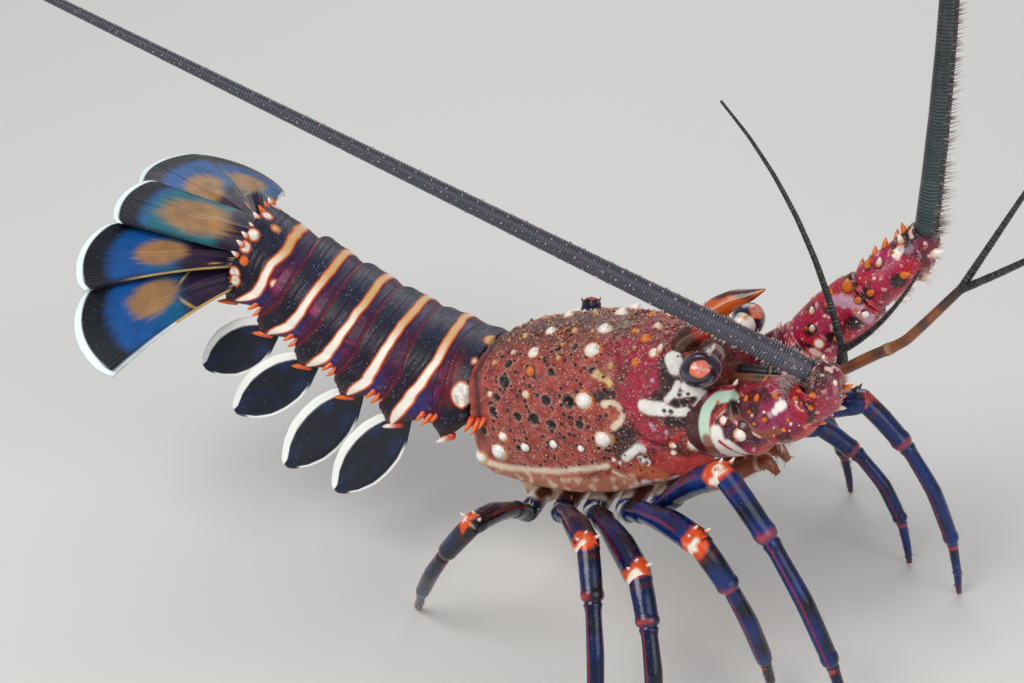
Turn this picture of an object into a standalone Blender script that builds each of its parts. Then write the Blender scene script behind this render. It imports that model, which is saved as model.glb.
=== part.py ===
"""Spiny lobster, life size, standing on its ten legs with the tail fan spread.

+X runs from the tail to the head, +Y to the animal's left, +Z up. The floor is z = 0.
"""
import random
from math import cos, pi, radians, sin

import bmesh
import bpy
from mathutils import Matrix, Vector

# Driving sizes. Every other length below is in carapace lengths.
CARAPACE_LENGTH = 0.070
GAP = 0.0003
BODY_HEIGHT = 0.85
BODY_PITCH = 15.0
ORIGIN_SHIFT = (-0.0122, 0.0122)

# Carapace: stations along the back, with half width, top and lower margin.
CARAPACE_STATIONS = (0.0, 0.05, 0.18, 0.33, 0.47, 0.58, 0.63, 0.74, 0.84, 0.92, 0.97)
CARAPACE_HALF_WIDTH = (0.235, 0.262, 0.285, 0.297, 0.3, 0.293, 0.285, 0.29, 0.275, 0.25, 0.2)
CARAPACE_TOP = (0.165, 0.195, 0.225, 0.235, 0.235, 0.222, 0.208, 0.215, 0.2, 0.175, 0.14)
CARAPACE_MARGIN = (-0.235, -0.27, -0.315, -0.34, -0.345, -0.34, -0.33, -0.31, -0.28, -0.25, -0.2)
CARAPACE_LIP = 0.03
CARAPACE_CORNER_SWEEP = 0.08
CARAPACE_REAR_HOLLOW = 0.012
CARAPACE_ARCH_POINTS = 17
STERNUM_REAR = (0.03, 0.155)
STERNUM_FRONT = (0.74, 0.095)
STERNUM_FLOOR = -0.455
STERNUM_TOP = -0.20

# Abdomen: one value a segment, from the carapace back.
SEGMENT_LENGTH = (0.172, 0.23, 0.225, 0.22, 0.22, 0.235)
SEGMENT_HALF_WIDTH = (0.25, 0.262, 0.258, 0.25, 0.238, 0.215)
SEGMENT_YAW = (3.5, 3.5, 1.5, -1.0, -4.0, -6.5)
SEGMENT_PITCH = (11.5, 9.0, 7.0, 6.5, 6.5, 5.5)
SEGMENT_RISE = 0.85
SEGMENT_FLOOR = -0.075
PLEURON_DEPTH = (0.10, 0.125, 0.115, 0.11, 0.10, 0.08)
PLEURON_POINT = (0.66, 0.62)
ABDOMEN_PARTS = (0.0, 0.1, 0.34, 0.42, 0.5, 0.62, 0.84, 1.0)
ABDOMEN_START = (-0.01, 0.0, -0.02)
ABDOMEN_FRONT_SWEEP = 0.06

# Tail fan, in the frame of the telson's root.
TELSON_YAW = -17.0
TELSON_PITCH = -10.0
FAN_THICKNESS = 0.016
RAY_RELIEF = 0.005
FAN_COLUMNS = 8
FAN_ROWS = 6
# Each plate: root, angles of its two edges, lengths at them and bulge between, droop, width at the root.
FAN_PLATES = {
    "telson": ((0.04, 0.0, 0.055), (-15.0, 18.0), (0.59, 0.54, 0.03), 0.0, 0.24),
    "inner_uropod_right": ((0.0, -0.105, 0.015), (0.0, -31.0), (0.55, 0.65, 0.045), 0.2, -0.10),
    "outer_uropod_right": ((0.02, -0.15, -0.025), (-24.0, -60.0), (0.62, 0.69, 0.055), 0.2, -0.15),
    "inner_uropod_left": ((0.0, 0.105, 0.015), (6.0, 56.0), (0.52, 0.68, 0.03), 0.2, 0.10),
    "outer_uropod_left": ((0.02, 0.15, -0.025), (48.0, 90.0), (0.70, 0.50, 0.03), 0.2, 0.13),
}

# Swimmerets: length and the direction from the body origin on level axes, for segments 2 to 5.
SWIMMERET_LENGTH = (0.51, 0.52, 0.47, 0.40)
SWIMMERET_WAY = ((-0.61, -0.27, -0.74), (-0.63, -0.29, -0.72), (-0.77, -0.32, -0.55), (-0.81, -0.33, -0.47))
SWIMMERET_HALF_WIDTH = 0.108
SWIMMERET_THICKNESS = 0.014
SWIMMERET_OUTLINE = ((-0.1, 0.2), (0.06, 0.26), (0.14, 0.46), (0.26, 0.78), (0.42, 0.97), (0.58, 1.0),
                     (0.74, 0.86), (0.9, 0.52), (1.0, 0.12))

# Legs, first to last: root along the sternum, knee and foot from the body origin, level axes.
LEG_ROOT_X = (0.67, 0.53, 0.39, 0.25, 0.10)
LEG_ROOT_Z = -0.405
RIGHT_KNEES = ((1.08, -0.41, 0.07), (1.06, -0.57, -0.13), (0.87, -0.66, -0.27), (0.66, -0.64, -0.21),
               (0.21, -0.68, -0.21))
RIGHT_FEET = ((1.56, -0.40), (1.24, -0.34), (1.00, -0.86), (0.80, -0.92), (-0.21, -0.43))
LEFT_KNEES = ((1.28, 0.45, -0.03), (1.04, 0.62, -0.28), (0.80, 0.72, -0.14), (0.45, 0.76, -0.12),
              (0.03, 0.67, 0.03))
LEFT_FEET = ((1.66, 0.54), (1.42, 0.66), (1.02, 1.08), (0.42, 1.14), (-0.12, 0.98))
LEG_GIRTH = (0.052, 0.05, 0.049, 0.047, 0.044)
FOOT_RADIUS = 0.012

# Feelers, from the body origin on level axes.
RIGHT_FEELER_TIP = (-2.1, -1.5, 2.36)
LEFT_FEELER_TIP = (1.0, 1.15, 4.45)
FEELER_RADIUS = 0.042
FEELER_TIP_RADIUS = 0.007
FEELER_STEPS = 14
FEELER_SPLIT = 5
FEELER_BASE = {
    "right": ((0.90, -0.17, -0.12), (0.98, -0.19, -0.12), (1.12, -0.215, -0.095), (1.16, -0.22, -0.08),
              (1.27, -0.235, -0.05), (1.35, -0.25, -0.015)),
    "left": ((0.90, 0.17, -0.125), (0.98, 0.19, -0.115), (1.12, 0.205, -0.055), (1.16, 0.21, -0.03),
             (1.32, 0.225, 0.085), (1.44, 0.24, 0.165)),
}
FEELER_BASE_RADII = {
    "right": (0.105, 0.122, 0.12, 0.105, 0.112, 0.093),
    "left": (0.105, 0.122, 0.117, 0.103, 0.108, 0.088),
}
FEELER_KNUCKLE = {
    "right": ((1.42, -0.27, 0.02), (1.45, -0.295, 0.075), (1.42, -0.31, 0.12)),
    "left": ((1.52, 0.26, 0.215), (1.62, 0.29, 0.275), (1.68, 0.30, 0.345)),
}
FEELER_KNUCKLE_RADII = {"right": (0.09, 0.085, 0.075, 0.058), "left": (0.085, 0.085, 0.078, 0.058)}
FEELER_BOW = {"right": (0.0, 0.0, 0.0), "left": (0.24, -0.3, 0.15)}

# Small feelers: stalk points, then the bow and tip of the outer and inner whips, on level axes.
SMALL_STALK = {
    "right": ((0.90, -0.036, 0.22), (1.08, -0.036, 0.25), (1.26, -0.04, 0.28), (1.34, -0.045, 0.34),
              (1.47, -0.06, 0.44), (1.60, -0.08, 0.54), (1.78, -0.10, 0.77)),
    "left": ((0.90, 0.036, 0.22), (1.08, 0.036, 0.25), (1.24, 0.036, 0.28), (1.32, 0.038, 0.32),
             (1.335, 0.042, 0.35), (1.33, 0.045, 0.39)),
}
SMALL_STALK_RADII = (0.029, 0.028, 0.027, 0.024, 0.024, 0.022, 0.018)
SMALL_WHIPS = {
    "right": (((0.02, 0.0, 0.04), (2.08, -0.08, 1.36)), ((0.04, -0.01, 0.01), (2.45, -0.36, 1.36))),
    "left": (((0.05, 0.0, 0.05), (0.84, 0.12, 1.22)), ((0.02, -0.02, -0.02), (1.62, -0.03, 0.78))),
}
SMALL_WHIP_RADII = (0.014, 0.005)
SMALL_WHIP_STEPS = 6

EYE_CENTRE = (0.965, 0.215, 0.10)
EYE_RADIUS = 0.062
ORBIT_RADIUS = 0.088
ORBIT_SHIFT = 0.02
STALK_RADII = (0.04, 0.045)
HORN = ((0.84, 0.12, 0.12), (0.90, 0.125, 0.185), (0.97, 0.135, 0.215), (1.04, 0.142, 0.225),
        (1.10, 0.145, 0.24))
HORN_RADII = (0.05, 0.045, 0.035, 0.022, 0.005)
JAW_FOOT = ((0.66, 0.043, -0.42), (0.76, 0.05, -0.43), (0.88, 0.06, -0.40), (0.97, 0.06, -0.36),
            (1.04, 0.055, -0.35), (1.07, 0.05, -0.40))
JAW_FOOT_RADII = (0.034, 0.04, 0.036, 0.03, 0.026, 0.012)

# Spines: rows over the carapace as degrees from the middle of the back, then base radius and length.
SEED = 7
SPINE_STATIONS = (0.13, 0.25, 0.38, 0.51, 0.67, 0.80)
SPINE_ROWS = ((17.0, 0.018, 0.036), (34.0, 0.018, 0.028), (52.0, 0.018, 0.020), (70.0, 0.016, 0.018))
SPINE_SIDES = 5
SPINE_SINK = 0.02
MARGIN_SPINES = ((0.935, 11.0, 0.016, 0.045), (0.80, 40.0, 0.018, 0.05), (0.80, 80.0, 0.018, 0.05))
PLEURON_SPINE = (0.016, 0.06)
PLEURON_TOOTH = (0.014, 0.03)
FEELER_SPINE_ROWS = (-60.0, -10.0, 35.0, 80.0, 150.0)
FEELER_SPINE = (0.017, 0.05)
KNEE_SPINE = (0.013, 0.045)


def clear_scene():
    for item in list(bpy.data.objects):
        bpy.data.objects.remove(item)


def new_collection(name):
    made = bpy.data.collections.new(name)
    bpy.context.scene.collection.children.link(made)
    return made


def shell_material(name, colour, roughness):
    made = bpy.data.materials.new(name)
    made.use_nodes = True
    shader = made.node_tree.nodes["Principled BSDF"]
    shader.inputs["Base Color"].default_value = (*colour, 1.0)
    shader.inputs["Roughness"].default_value = roughness
    shader.inputs["Metallic"].default_value = 0.0
    made.diffuse_color = (*colour, 1.0)
    return made


# Frames. A point in carapace lengths is taken to metres by the frame that it is given in.
def level_frame():
    """Level axes with their origin at the rear of the carapace, at mid height."""
    shift = Vector((ORIGIN_SHIFT[0], ORIGIN_SHIFT[1], BODY_HEIGHT * CARAPACE_LENGTH))
    return Matrix.Translation(shift) @ Matrix.Scale(CARAPACE_LENGTH, 4)


def body_frame():
    return level_frame() @ Matrix.Rotation(radians(-BODY_PITCH), 4, "Y")


def bend(yaw, pitch):
    """A turn to the right by yaw degrees, then downward by pitch degrees."""
    return Matrix.Rotation(radians(-yaw), 4, "Z") @ Matrix.Rotation(radians(pitch), 4, "Y")


def abdomen_joints():
    """One frame at each joint, halfway between the directions of the segments that meet there.

    The first is square to the carapace, whose rear edge the abdomen follows.
    """
    turn = Matrix.Identity(4)
    place = Vector(ABDOMEN_START)
    joints = [Matrix.Translation(place)]
    for length, yaw, pitch in zip(SEGMENT_LENGTH, SEGMENT_YAW, SEGMENT_PITCH):
        if turn != Matrix.Identity(4):
            joints.append(Matrix.Translation(place) @ turn @ bend(yaw / 2, pitch / 2))
        turn = turn @ bend(yaw, pitch)
        place = place + turn @ Vector((-length, 0.0, 0.0))
    joints.append(Matrix.Translation(place) @ turn @ bend(TELSON_YAW / 2, TELSON_PITCH / 2))
    return joints, Matrix.Translation(place) @ turn @ bend(TELSON_YAW, TELSON_PITCH)


def between(first, second, part):
    """The frame that lies this part of the way from the first to the second."""
    turn = first.to_quaternion().slerp(second.to_quaternion(), part)
    place = first.to_translation().lerp(second.to_translation(), part)
    return Matrix.Translation(place) @ turn.to_matrix().to_4x4()


# Mesh helpers.
def loft(rings):
    """A closed body through rings of points. A first or last ring of one point makes a tip."""
    mesh = bmesh.new()
    rows = [[mesh.verts.new(point) for point in ring] for ring in rings]
    for low, high in zip(rows, rows[1:]):
        count = max(len(low), len(high))
        for i in range(count):
            j = (i + 1) % count
            corners = [low[i % len(low)], low[j % len(low)], high[j % len(high)], high[i % len(high)]]
            mesh.faces.new(list(dict.fromkeys(corners)))
    for row in (rows[0], rows[-1]):
        if len(row) > 2:
            mesh.faces.new(row)
    bmesh.ops.recalc_face_normals(mesh, faces=mesh.faces)
    return mesh


def finished(mesh, name, frame, material, collection):
    """An object from a bmesh, its points taken through the frame."""
    bmesh.ops.transform(mesh, matrix=frame, verts=mesh.verts)
    data = bpy.data.meshes.new(name)
    mesh.to_mesh(data)
    mesh.free()
    made = bpy.data.objects.new(name, data)
    data.materials.append(material)
    collection.objects.link(made)
    return made


def ring_about(centre, direction, radius, sides, side_axis=None, squash=1.0):
    """A ring of points round a centre, squashed along the axis that lies across side_axis."""
    direction = Vector(direction).normalized()
    guide = Vector(side_axis) if side_axis is not None else Vector((0.0, 0.0, 1.0))
    across = direction.cross(guide).normalized()
    over = across.cross(direction).normalized()
    points = []
    for i in range(sides):
        angle = 2 * pi * (i + 0.5) / sides
        points.append(Vector(centre) + across * radius * squash * cos(angle) + over * radius * sin(angle))
    return points


def tube(points, radii, sides, start=None, end=None, guide=(0.0, 0.0, 1.0), squash=1.0):
    """A tapered tube through points. start and end turn the end faces."""
    points = [Vector(point) for point in points]
    rings = []
    for i, (point, radius) in enumerate(zip(points, radii)):
        before = points[max(i - 1, 0)]
        after = points[min(i + 1, len(points) - 1)]
        direction = (after - before).normalized()
        if i == 0 and start is not None:
            direction = Vector(start).normalized()
        if i == len(points) - 1 and end is not None:
            direction = Vector(end).normalized()
        rings.append(ring_about(point, direction, radius, sides, guide, squash))
    return loft(rings)


def bowed(start, end, bow, parts):
    """Points from start to end, pushed out by bow at the middle."""
    start, end, bow = Vector(start), Vector(end), Vector(bow)
    return [start.lerp(end, part) + bow * 4 * part * (1 - part) for part in parts]


def keep_largest(item):
    """Drops every closed surface of the mesh but the largest."""
    mesh = bmesh.new()
    mesh.from_mesh(item.data)
    left = set(mesh.faces)
    shells = []
    while left:
        shell = {left.pop()}
        edge_of_shell = set(shell)
        while edge_of_shell:
            reached = {near for face in edge_of_shell for edge in face.edges for near in edge.link_faces}
            edge_of_shell = reached - shell
            shell |= edge_of_shell
        left -= shell
        shells.append(shell)
    shells.sort(key=lambda shell: sum(face.calc_area() for face in shell))
    dropped = [face for shell in shells[:-1] for face in shell]
    bmesh.ops.delete(mesh, geom=dropped, context="FACES")
    loose = [vert for vert in mesh.verts if not vert.link_faces]
    bmesh.ops.delete(mesh, geom=loose, context="VERTS")
    mesh.to_mesh(item.data)
    mesh.free()


def apply_modifiers(item):
    graph = bpy.context.evaluated_depsgraph_get()
    data = bpy.data.meshes.new_from_object(item.evaluated_get(graph), depsgraph=graph)
    item.modifiers.clear()
    item.data = data


def cut_clear(piece, neighbour, gap=GAP):
    """Cuts the piece back so that it keeps the gap to its neighbour."""
    mesh = bmesh.new()
    mesh.from_mesh(neighbour.data)
    moves = [(vert, vert.normal * gap * vert.calc_shell_factor()) for vert in mesh.verts]
    for vert, move in moves:
        vert.co += move
    data = bpy.data.meshes.new("cutter")
    mesh.to_mesh(data)
    mesh.free()
    cutter = bpy.data.objects.new("cutter", data)
    CUTTERS.objects.link(cutter)
    cutter.display_type = "WIRE"
    cut = piece.modifiers.new("clear", "BOOLEAN")
    cut.operation = "DIFFERENCE"
    cut.object = cutter
    cut.use_self = True
    apply_modifiers(piece)
    bpy.data.objects.remove(cutter)
    keep_largest(piece)


def join_forms(piece, forms):
    """One union of the piece with closed forms, which are (bmesh, frame) pairs."""
    gathered = bpy.data.collections.new("forms of " + piece.name)
    bpy.context.scene.collection.children.link(gathered)
    for index, (mesh, frame) in enumerate(forms):
        finished(mesh, f"form_{index}", frame, piece.data.materials[0], gathered)
    union = piece.modifiers.new("forms", "BOOLEAN")
    union.operation = "UNION"
    union.operand_type = "COLLECTION"
    union.collection = gathered
    apply_modifiers(piece)
    for item in list(gathered.objects):
        bpy.data.objects.remove(item)
    bpy.data.collections.remove(gathered)
    keep_largest(piece)


def spine(root, way, radius, length):
    """A pointed spine whose root is sunk below the surface."""
    root, way = Vector(root), Vector(way).normalized()
    base = ring_about(root - way * SPINE_SINK, way, radius, SPINE_SIDES, side_axis=(0.31, 0.17, 0.93))
    return loft([base, [root + way * length]])


def curve_value(stations, values, x):
    """The value at x on straight lines through the stations."""
    for i in range(len(stations) - 1):
        if x <= stations[i + 1]:
            part = (x - stations[i]) / (stations[i + 1] - stations[i])
            return values[i] + (values[i + 1] - values[i]) * part
    return values[-1]


# Carapace.
def carapace_ring(x):
    """One cross section: an arch from margin to margin over the back, then the underside."""
    width = curve_value(CARAPACE_STATIONS, CARAPACE_HALF_WIDTH, x)
    top = curve_value(CARAPACE_STATIONS, CARAPACE_TOP, x)
    margin = curve_value(CARAPACE_STATIONS, CARAPACE_MARGIN, x)
    rear = max(0.0, 1.0 - x / 0.3) ** 2
    points = []
    for i in range(CARAPACE_ARCH_POINTS):
        angle = pi * (i / (CARAPACE_ARCH_POINTS - 1) - 0.5)
        y = width * sin(angle)
        height = cos(angle)
        low = max(0.0, 1.0 - height * 1.6)
        z = top * height ** 0.85 + margin * low
        y *= 1.0 - 0.10 * low ** 2
        points.append(Vector((x - CARAPACE_CORNER_SWEEP * rear * (1 - height), y, z)))
    inner_y = points[-1].y - CARAPACE_LIP
    sweep = points[-1].x
    for part in (1.0, 0.4, -0.4, -1.0):
        rise = CARAPACE_LIP * (1.2 - 0.6 * abs(part))
        points.append(Vector((sweep + (x - sweep) * (1 - abs(part)), inner_y * part, margin + rise)))
    return points


def build_carapace(frame):
    rings = [[Vector((CARAPACE_REAR_HOLLOW, 0.0, 0.0))]] + [carapace_ring(x) for x in CARAPACE_STATIONS]
    material = shell_material("carapace", (0.38, 0.09, 0.07), 0.35)
    made = finished(loft(rings), "carapace", frame, material, PART)
    for side in (-1, 1):
        x, y, z = EYE_CENTRE
        ball = bmesh.new()
        bmesh.ops.create_uvsphere(ball, u_segments=12, v_segments=8, radius=ORBIT_RADIUS)
        place = frame @ Matrix.Translation((x + ORBIT_SHIFT, side * (y + ORBIT_SHIFT), z))
        orbit = finished(ball, "orbit", place, material, CUTTERS)
        cut_clear(made, orbit, 0.0)
        bpy.data.objects.remove(orbit)
    return made


def carapace_surface(x, degrees):
    """A point on the arch and its outward direction, at an angle from the middle of the back."""
    def at(x, degrees):
        ring = carapace_ring(x)
        place = (degrees / 180 + 0.5) * (CARAPACE_ARCH_POINTS - 1)
        low = int(place)
        return ring[low].lerp(ring[low + 1], place - low)
    point = at(x, degrees)
    along = at(x + 0.02, degrees) - at(x - 0.02, degrees)
    around = at(x, degrees + 3) - at(x, degrees - 3)
    return point, around.cross(along).normalized() * -1


def add_carapace_spines(carapace, frame):
    draw = random.Random(SEED)
    forms = []
    for side in (-1, 1):
        for row, (degrees, radius, length) in enumerate(SPINE_ROWS):
            for x in SPINE_STATIONS:
                place = x + 0.03 * (row % 2) + draw.uniform(-0.012, 0.012)
                if place > 0.78 and degrees > 30:
                    continue
                size = draw.uniform(0.8, 1.15)
                point, out = carapace_surface(place, side * (degrees + draw.uniform(-3, 3)))
                way = out + Vector((0.75, 0.0, 0.1))
                forms.append((spine(point, way, radius * size, length * size), frame))
        for x, degrees, radius, length in MARGIN_SPINES:
            point, out = carapace_surface(x, side * degrees)
            forms.append((spine(point, out + Vector((0.8, 0.0, 0.1)), radius, length), frame))
    join_forms(carapace, forms)


def add_pleuron_spines(segments, joints, frame):
    """A tooth at each pleuron's point and a smaller one ahead of it."""
    for number, segment in enumerate(segments):
        forms = []
        for side in (-1, 1):
            half = SEGMENT_HALF_WIDTH[number]
            place = between(joints[number], joints[number + 1], 0.62)
            root = place @ Vector((-0.01, side * half * 0.96, -0.03 - 0.85 * PLEURON_DEPTH[number]))
            way = place.to_3x3() @ Vector((-0.8, side * 0.15, -0.6))
            forms.append((spine(root, way, *PLEURON_SPINE), frame))
            place = between(joints[number], joints[number + 1], 0.10)
            root = place @ Vector((0.0, side * half * 0.94, -0.01))
            way = place.to_3x3() @ Vector((-0.55, side * 0.6, -0.5))
            forms.append((spine(root, way, *PLEURON_TOOTH), frame))
        join_forms(segment, forms)


def build_sternum(frame, carapace):
    block = bmesh.new()
    bmesh.ops.create_cube(block, size=1.0)
    for vert in block.verts:
        x, width = STERNUM_FRONT if vert.co.x > 0 else STERNUM_REAR
        taper = 1.0 if vert.co.z > 0 else 0.82
        z = STERNUM_TOP if vert.co.z > 0 else STERNUM_FLOOR
        vert.co = Vector((x, width * taper * (1 if vert.co.y > 0 else -1), z))
    made = finished(block, "sternum", frame, shell_material("sternum", (0.45, 0.2, 0.12), 0.45), PART)
    cut_clear(made, carapace)
    return made


# Abdomen.
def segment_ring(frame, number, part):
    """A cross section of a segment, part of the way from its front joint to its rear one."""
    sweep = ABDOMEN_FRONT_SWEEP * (1 - part) ** 2 if number == 0 else 0.0
    half = SEGMENT_HALF_WIDTH[number]
    swell = 0.93 + 0.07 * min(1.0, part / 0.5)
    if abs(part - 0.1) < 0.01:
        swell -= 0.012
    if 0.4 < part < 0.7:
        swell += 0.012
    at, reach = PLEURON_POINT
    bump = max(0.0, 1.0 - abs(part - at) / reach)
    depth = 0.04 + PLEURON_DEPTH[number] * bump
    points = []
    for i in range(11):
        angle = pi * (i / 10 - 0.5)
        rise = cos(angle)
        height = half * SEGMENT_RISE * swell * rise
        points.append(Vector((-sweep * (1 - rise), half * swell * sin(angle), height)))
    lean = -sweep - 0.30 * depth * sin(pi * part)
    inner_lean = (lean - sweep) / 2
    edge = half * swell
    ends = [Vector((lean, -edge, -depth)), Vector((inner_lean, -half * 0.84, SEGMENT_FLOOR * 0.8)),
            Vector((-sweep, 0.0, SEGMENT_FLOOR)), Vector((inner_lean, half * 0.84, SEGMENT_FLOOR * 0.8)),
            Vector((lean, edge, -depth))]
    ring = points + list(reversed(ends))
    return [frame @ point for point in ring]


def build_abdomen(frame, joints):
    half_gap = GAP / CARAPACE_LENGTH / 2
    segments = []
    for number in range(6):
        rings = []
        for part in ABDOMEN_PARTS:
            place = between(joints[number], joints[number + 1], part)
            if part == 0.0 and number > 0:
                place = place @ Matrix.Translation((-half_gap, 0.0, 0.0))
            if part == 1.0:
                place = place @ Matrix.Translation((half_gap, 0.0, 0.0))
            rings.append(segment_ring(place, number, part))
        if number == 0:
            rings.insert(0, [joints[0].to_translation()])
        material = shell_material(f"abdomen_{number + 1}", (0.12, 0.03, 0.09), 0.3)
        segments.append(finished(loft(rings), f"abdomen_{number + 1}", frame, material, PART))
    return segments


# Tail fan.
def fan_plate(root, angles, lengths, drop, root_width):
    """A plate of the fan with raised rays."""
    rows, columns = FAN_ROWS, FAN_COLUMNS
    grid = []
    for i in range(rows + 1):
        out = i / rows
        line = []
        for j in range(columns + 1):
            across = j / columns
            angle = radians(angles[0] + (angles[1] - angles[0]) * across)
            bulge = 1 - (2 * across - 1) ** 2
            length = lengths[0] + (lengths[1] - lengths[0]) * across + lengths[2] * bulge
            reach = length * out
            start_y = root_width * (across - 0.5) * (1 - out)
            x = root[0] - reach * cos(angle)
            y = root[1] + start_y + reach * sin(angle)
            z = root[2] - drop * abs(sin(angle)) * out * out
            line.append(Vector((x, y, z)))
        grid.append(line)
    mesh = bmesh.new()
    faces = []
    for side in (1, -1):
        rows_of = []
        for i, line in enumerate(grid):
            out = i / rows
            row = []
            for j, point in enumerate(line):
                edge = j in (0, columns) or i == rows
                relief = 0.0 if edge or j % 2 == 0 or i < 2 else RAY_RELIEF
                thick = FAN_THICKNESS * (1.6 - 0.9 * out) * (0.55 if edge else 1.0) + relief
                row.append(mesh.verts.new(point + Vector((0.0, 0.0, side * thick / 2))))
            rows_of.append(row)
        faces.append(rows_of)
    top, bottom = faces
    for i in range(rows):
        for j in range(columns):
            for sheet in (top, bottom):
                a, b, c, d = sheet[i][j], sheet[i][j + 1], sheet[i + 1][j + 1], sheet[i + 1][j]
                mesh.faces.new((a, b, c))
                mesh.faces.new((a, c, d))
    rim = [(0, j) for j in range(columns)] + [(i, columns) for i in range(rows)]
    rim += [(rows, j) for j in range(columns, 0, -1)] + [(i, 0) for i in range(rows, 0, -1)]
    for (i, j), (k, m) in zip(rim, rim[1:] + rim[:1]):
        mesh.faces.new((top[i][j], top[k][m], bottom[k][m], bottom[i][j]))
    bmesh.ops.recalc_face_normals(mesh, faces=mesh.faces)
    return mesh


def build_fan(frame, fan, last_segment):
    place = frame @ fan
    for name, sizes in FAN_PLATES.items():
        plate = finished(fan_plate(*sizes), name, place, shell_material(name, (0.02, 0.12, 0.18), 0.3), PART)
        cut_clear(plate, last_segment)


# Swimmerets.
def swimmeret(start, way, length, side):
    """An oval blade on a short stalk."""
    way = Vector(way)
    way.y *= -side
    way.normalize()
    face = Vector((0.35, side * 0.8, 0.45))
    across = way.cross(face).normalized()
    face = across.cross(way).normalized()
    start = Vector(start)
    sides = ((-1, 0), (-0.6, 0.8), (0, 1), (0.6, 0.8), (1, 0), (0.6, -0.8), (0, -1), (-0.6, -0.8))
    rings = []
    for part, share in SWIMMERET_OUTLINE:
        half = share * SWIMMERET_HALF_WIDTH
        centre = start + way * length * part
        thick = SWIMMERET_THICKNESS * (1.0 if part > 0.15 else 1.6) * (0.6 if part > 0.9 else 1.0)
        rings.append([centre + across * half * a + face * thick * 0.5 * b for a, b in sides])
    return loft(rings)


def build_swimmerets(frame, level, joints, segments):
    to_level = level.inverted() @ frame
    for index in range(4):
        number = index + 1
        middle = between(joints[number], joints[number + 1], 0.6)
        for side, name in ((-1, "right"), (1, "left")):
            at = middle @ Vector((0.0, side * SEGMENT_HALF_WIDTH[number] * 0.7, SEGMENT_FLOOR - 0.015))
            mesh = swimmeret(to_level @ at, SWIMMERET_WAY[index], SWIMMERET_LENGTH[index], side)
            label = f"swimmeret_{number + 1}_{name}"
            item = finished(mesh, label, level, shell_material(label, (0.01, 0.02, 0.06), 0.3), PART)
            cut_clear(item, segments[number])


# Legs.
def build_leg(name, body, level, root, knee, foot, girth, sternum):
    to_level = level.inverted() @ body
    side = 1 if root[1] > 0 else -1
    inner = to_level @ Vector((root[0], side * 0.07, root[2] + 0.005))
    hip = to_level @ Vector((root[0] + 0.01, side * 0.27, root[2] - 0.02))
    knee = Vector(knee)
    foot = Vector((foot[0], foot[1], -BODY_HEIGHT))
    half_gap = GAP / CARAPACE_LENGTH / 2
    thigh = bowed(hip, knee, (0.0, 0.0, 0.035), (0.12, 0.24, 0.3, 0.62, 0.9, 1.0))
    out = Vector((knee.x - hip.x, knee.y - hip.y, 0.0)).normalized()
    bow = (out * 0.8 + Vector((0.0, 0.0, 0.35))) * 0.10
    shin = bowed(knee, foot, bow, (0.0, 0.1, 0.24, 0.3, 0.5, 0.72, 0.78, 0.9, 1.0))
    bend = ((knee - thigh[-2]).normalized() + (shin[1] - knee).normalized()).normalized()
    upper_points = [inner, hip] + thigh[:-1] + [knee - bend * half_gap]
    upper_radii = [girth * value for value in (0.92, 0.9, 0.82, 0.88, 0.78, 1.0, 1.0, 0.9)]
    lower_points = [knee + bend * half_gap] + shin[1:]
    lower_radii = [girth * value for value in (0.9, 0.85, 0.8, 0.6, 0.66, 0.62, 0.42, 0.36)] + [FOOT_RADIUS]
    guide = out.cross(Vector((0.0, 0.0, 1.0)))
    upper = tube(upper_points, upper_radii, 8, end=bend, guide=guide)
    lower = tube(lower_points, lower_radii, 8, start=bend, end=(0.0, 0.0, -1.0), guide=guide)
    blue = (0.01, 0.02, 0.08)
    top = finished(upper, f"{name}_upper", level, shell_material(f"{name}_upper", blue, 0.25), PART)
    finished(lower, f"{name}_lower", level, shell_material(f"{name}_lower", blue, 0.25), PART)
    radius, length = KNEE_SPINE
    forms = []
    for lean in (-1.0, 0.9):
        way = Vector((0.0, 0.0, 1.0)) + guide * lean
        root = thigh[-2] + way.normalized() * girth * 0.8
        forms.append((spine(root, way + (knee - thigh[-2]).normalized() * 0.5, radius, length), level))
    join_forms(top, forms)
    cut_clear(top, sternum)


def build_legs(body, level, sternum):
    sides = ((-1, "right", RIGHT_KNEES, RIGHT_FEET), (1, "left", LEFT_KNEES, LEFT_FEET))
    for side, name, knees, feet in sides:
        for index in range(5):
            root = (LEG_ROOT_X[index], side, LEG_ROOT_Z)
            build_leg(f"leg_{index + 1}_{name}", body, level, root, knees[index], feet[index],
                      LEG_GIRTH[index], sternum)


# Head.
def build_eyes(frame, carapace):
    made = []
    for side, name in ((-1, "right"), (1, "left")):
        x, y, z = EYE_CENTRE
        centre = Vector((x, side * y, z))
        ball = bmesh.new()
        bmesh.ops.create_uvsphere(ball, u_segments=16, v_segments=10, radius=EYE_RADIUS)
        item = finished(ball, f"eye_{name}", frame @ Matrix.Translation(centre),
                        shell_material(f"eye_{name}", (0.03, 0.02, 0.05), 0.1), PART)
        inner, outer = Vector((-0.005, -side * 0.14, 0.0)), Vector((0.0, -side * 0.04, 0.0))
        stalk = tube([centre + inner, centre + outer], STALK_RADII, 8)
        join_forms(item, [(stalk, frame)])
        cut_clear(item, carapace)
        made.append(item)
    return made


def build_horns(frame, carapace, eyes):
    for (side, name), eye in zip(((-1, "right"), (1, "left")), eyes):
        mesh = tube([(x, side * y, z) for x, y, z in HORN], HORN_RADII, 8, guide=(0.0, 1.0, 0.0))
        material = shell_material(f"horn_{name}", (0.3, 0.08, 0.03), 0.35)
        item = finished(mesh, f"horn_{name}", frame, material, PART)
        cut_clear(item, carapace)
        cut_clear(item, eye)


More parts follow.
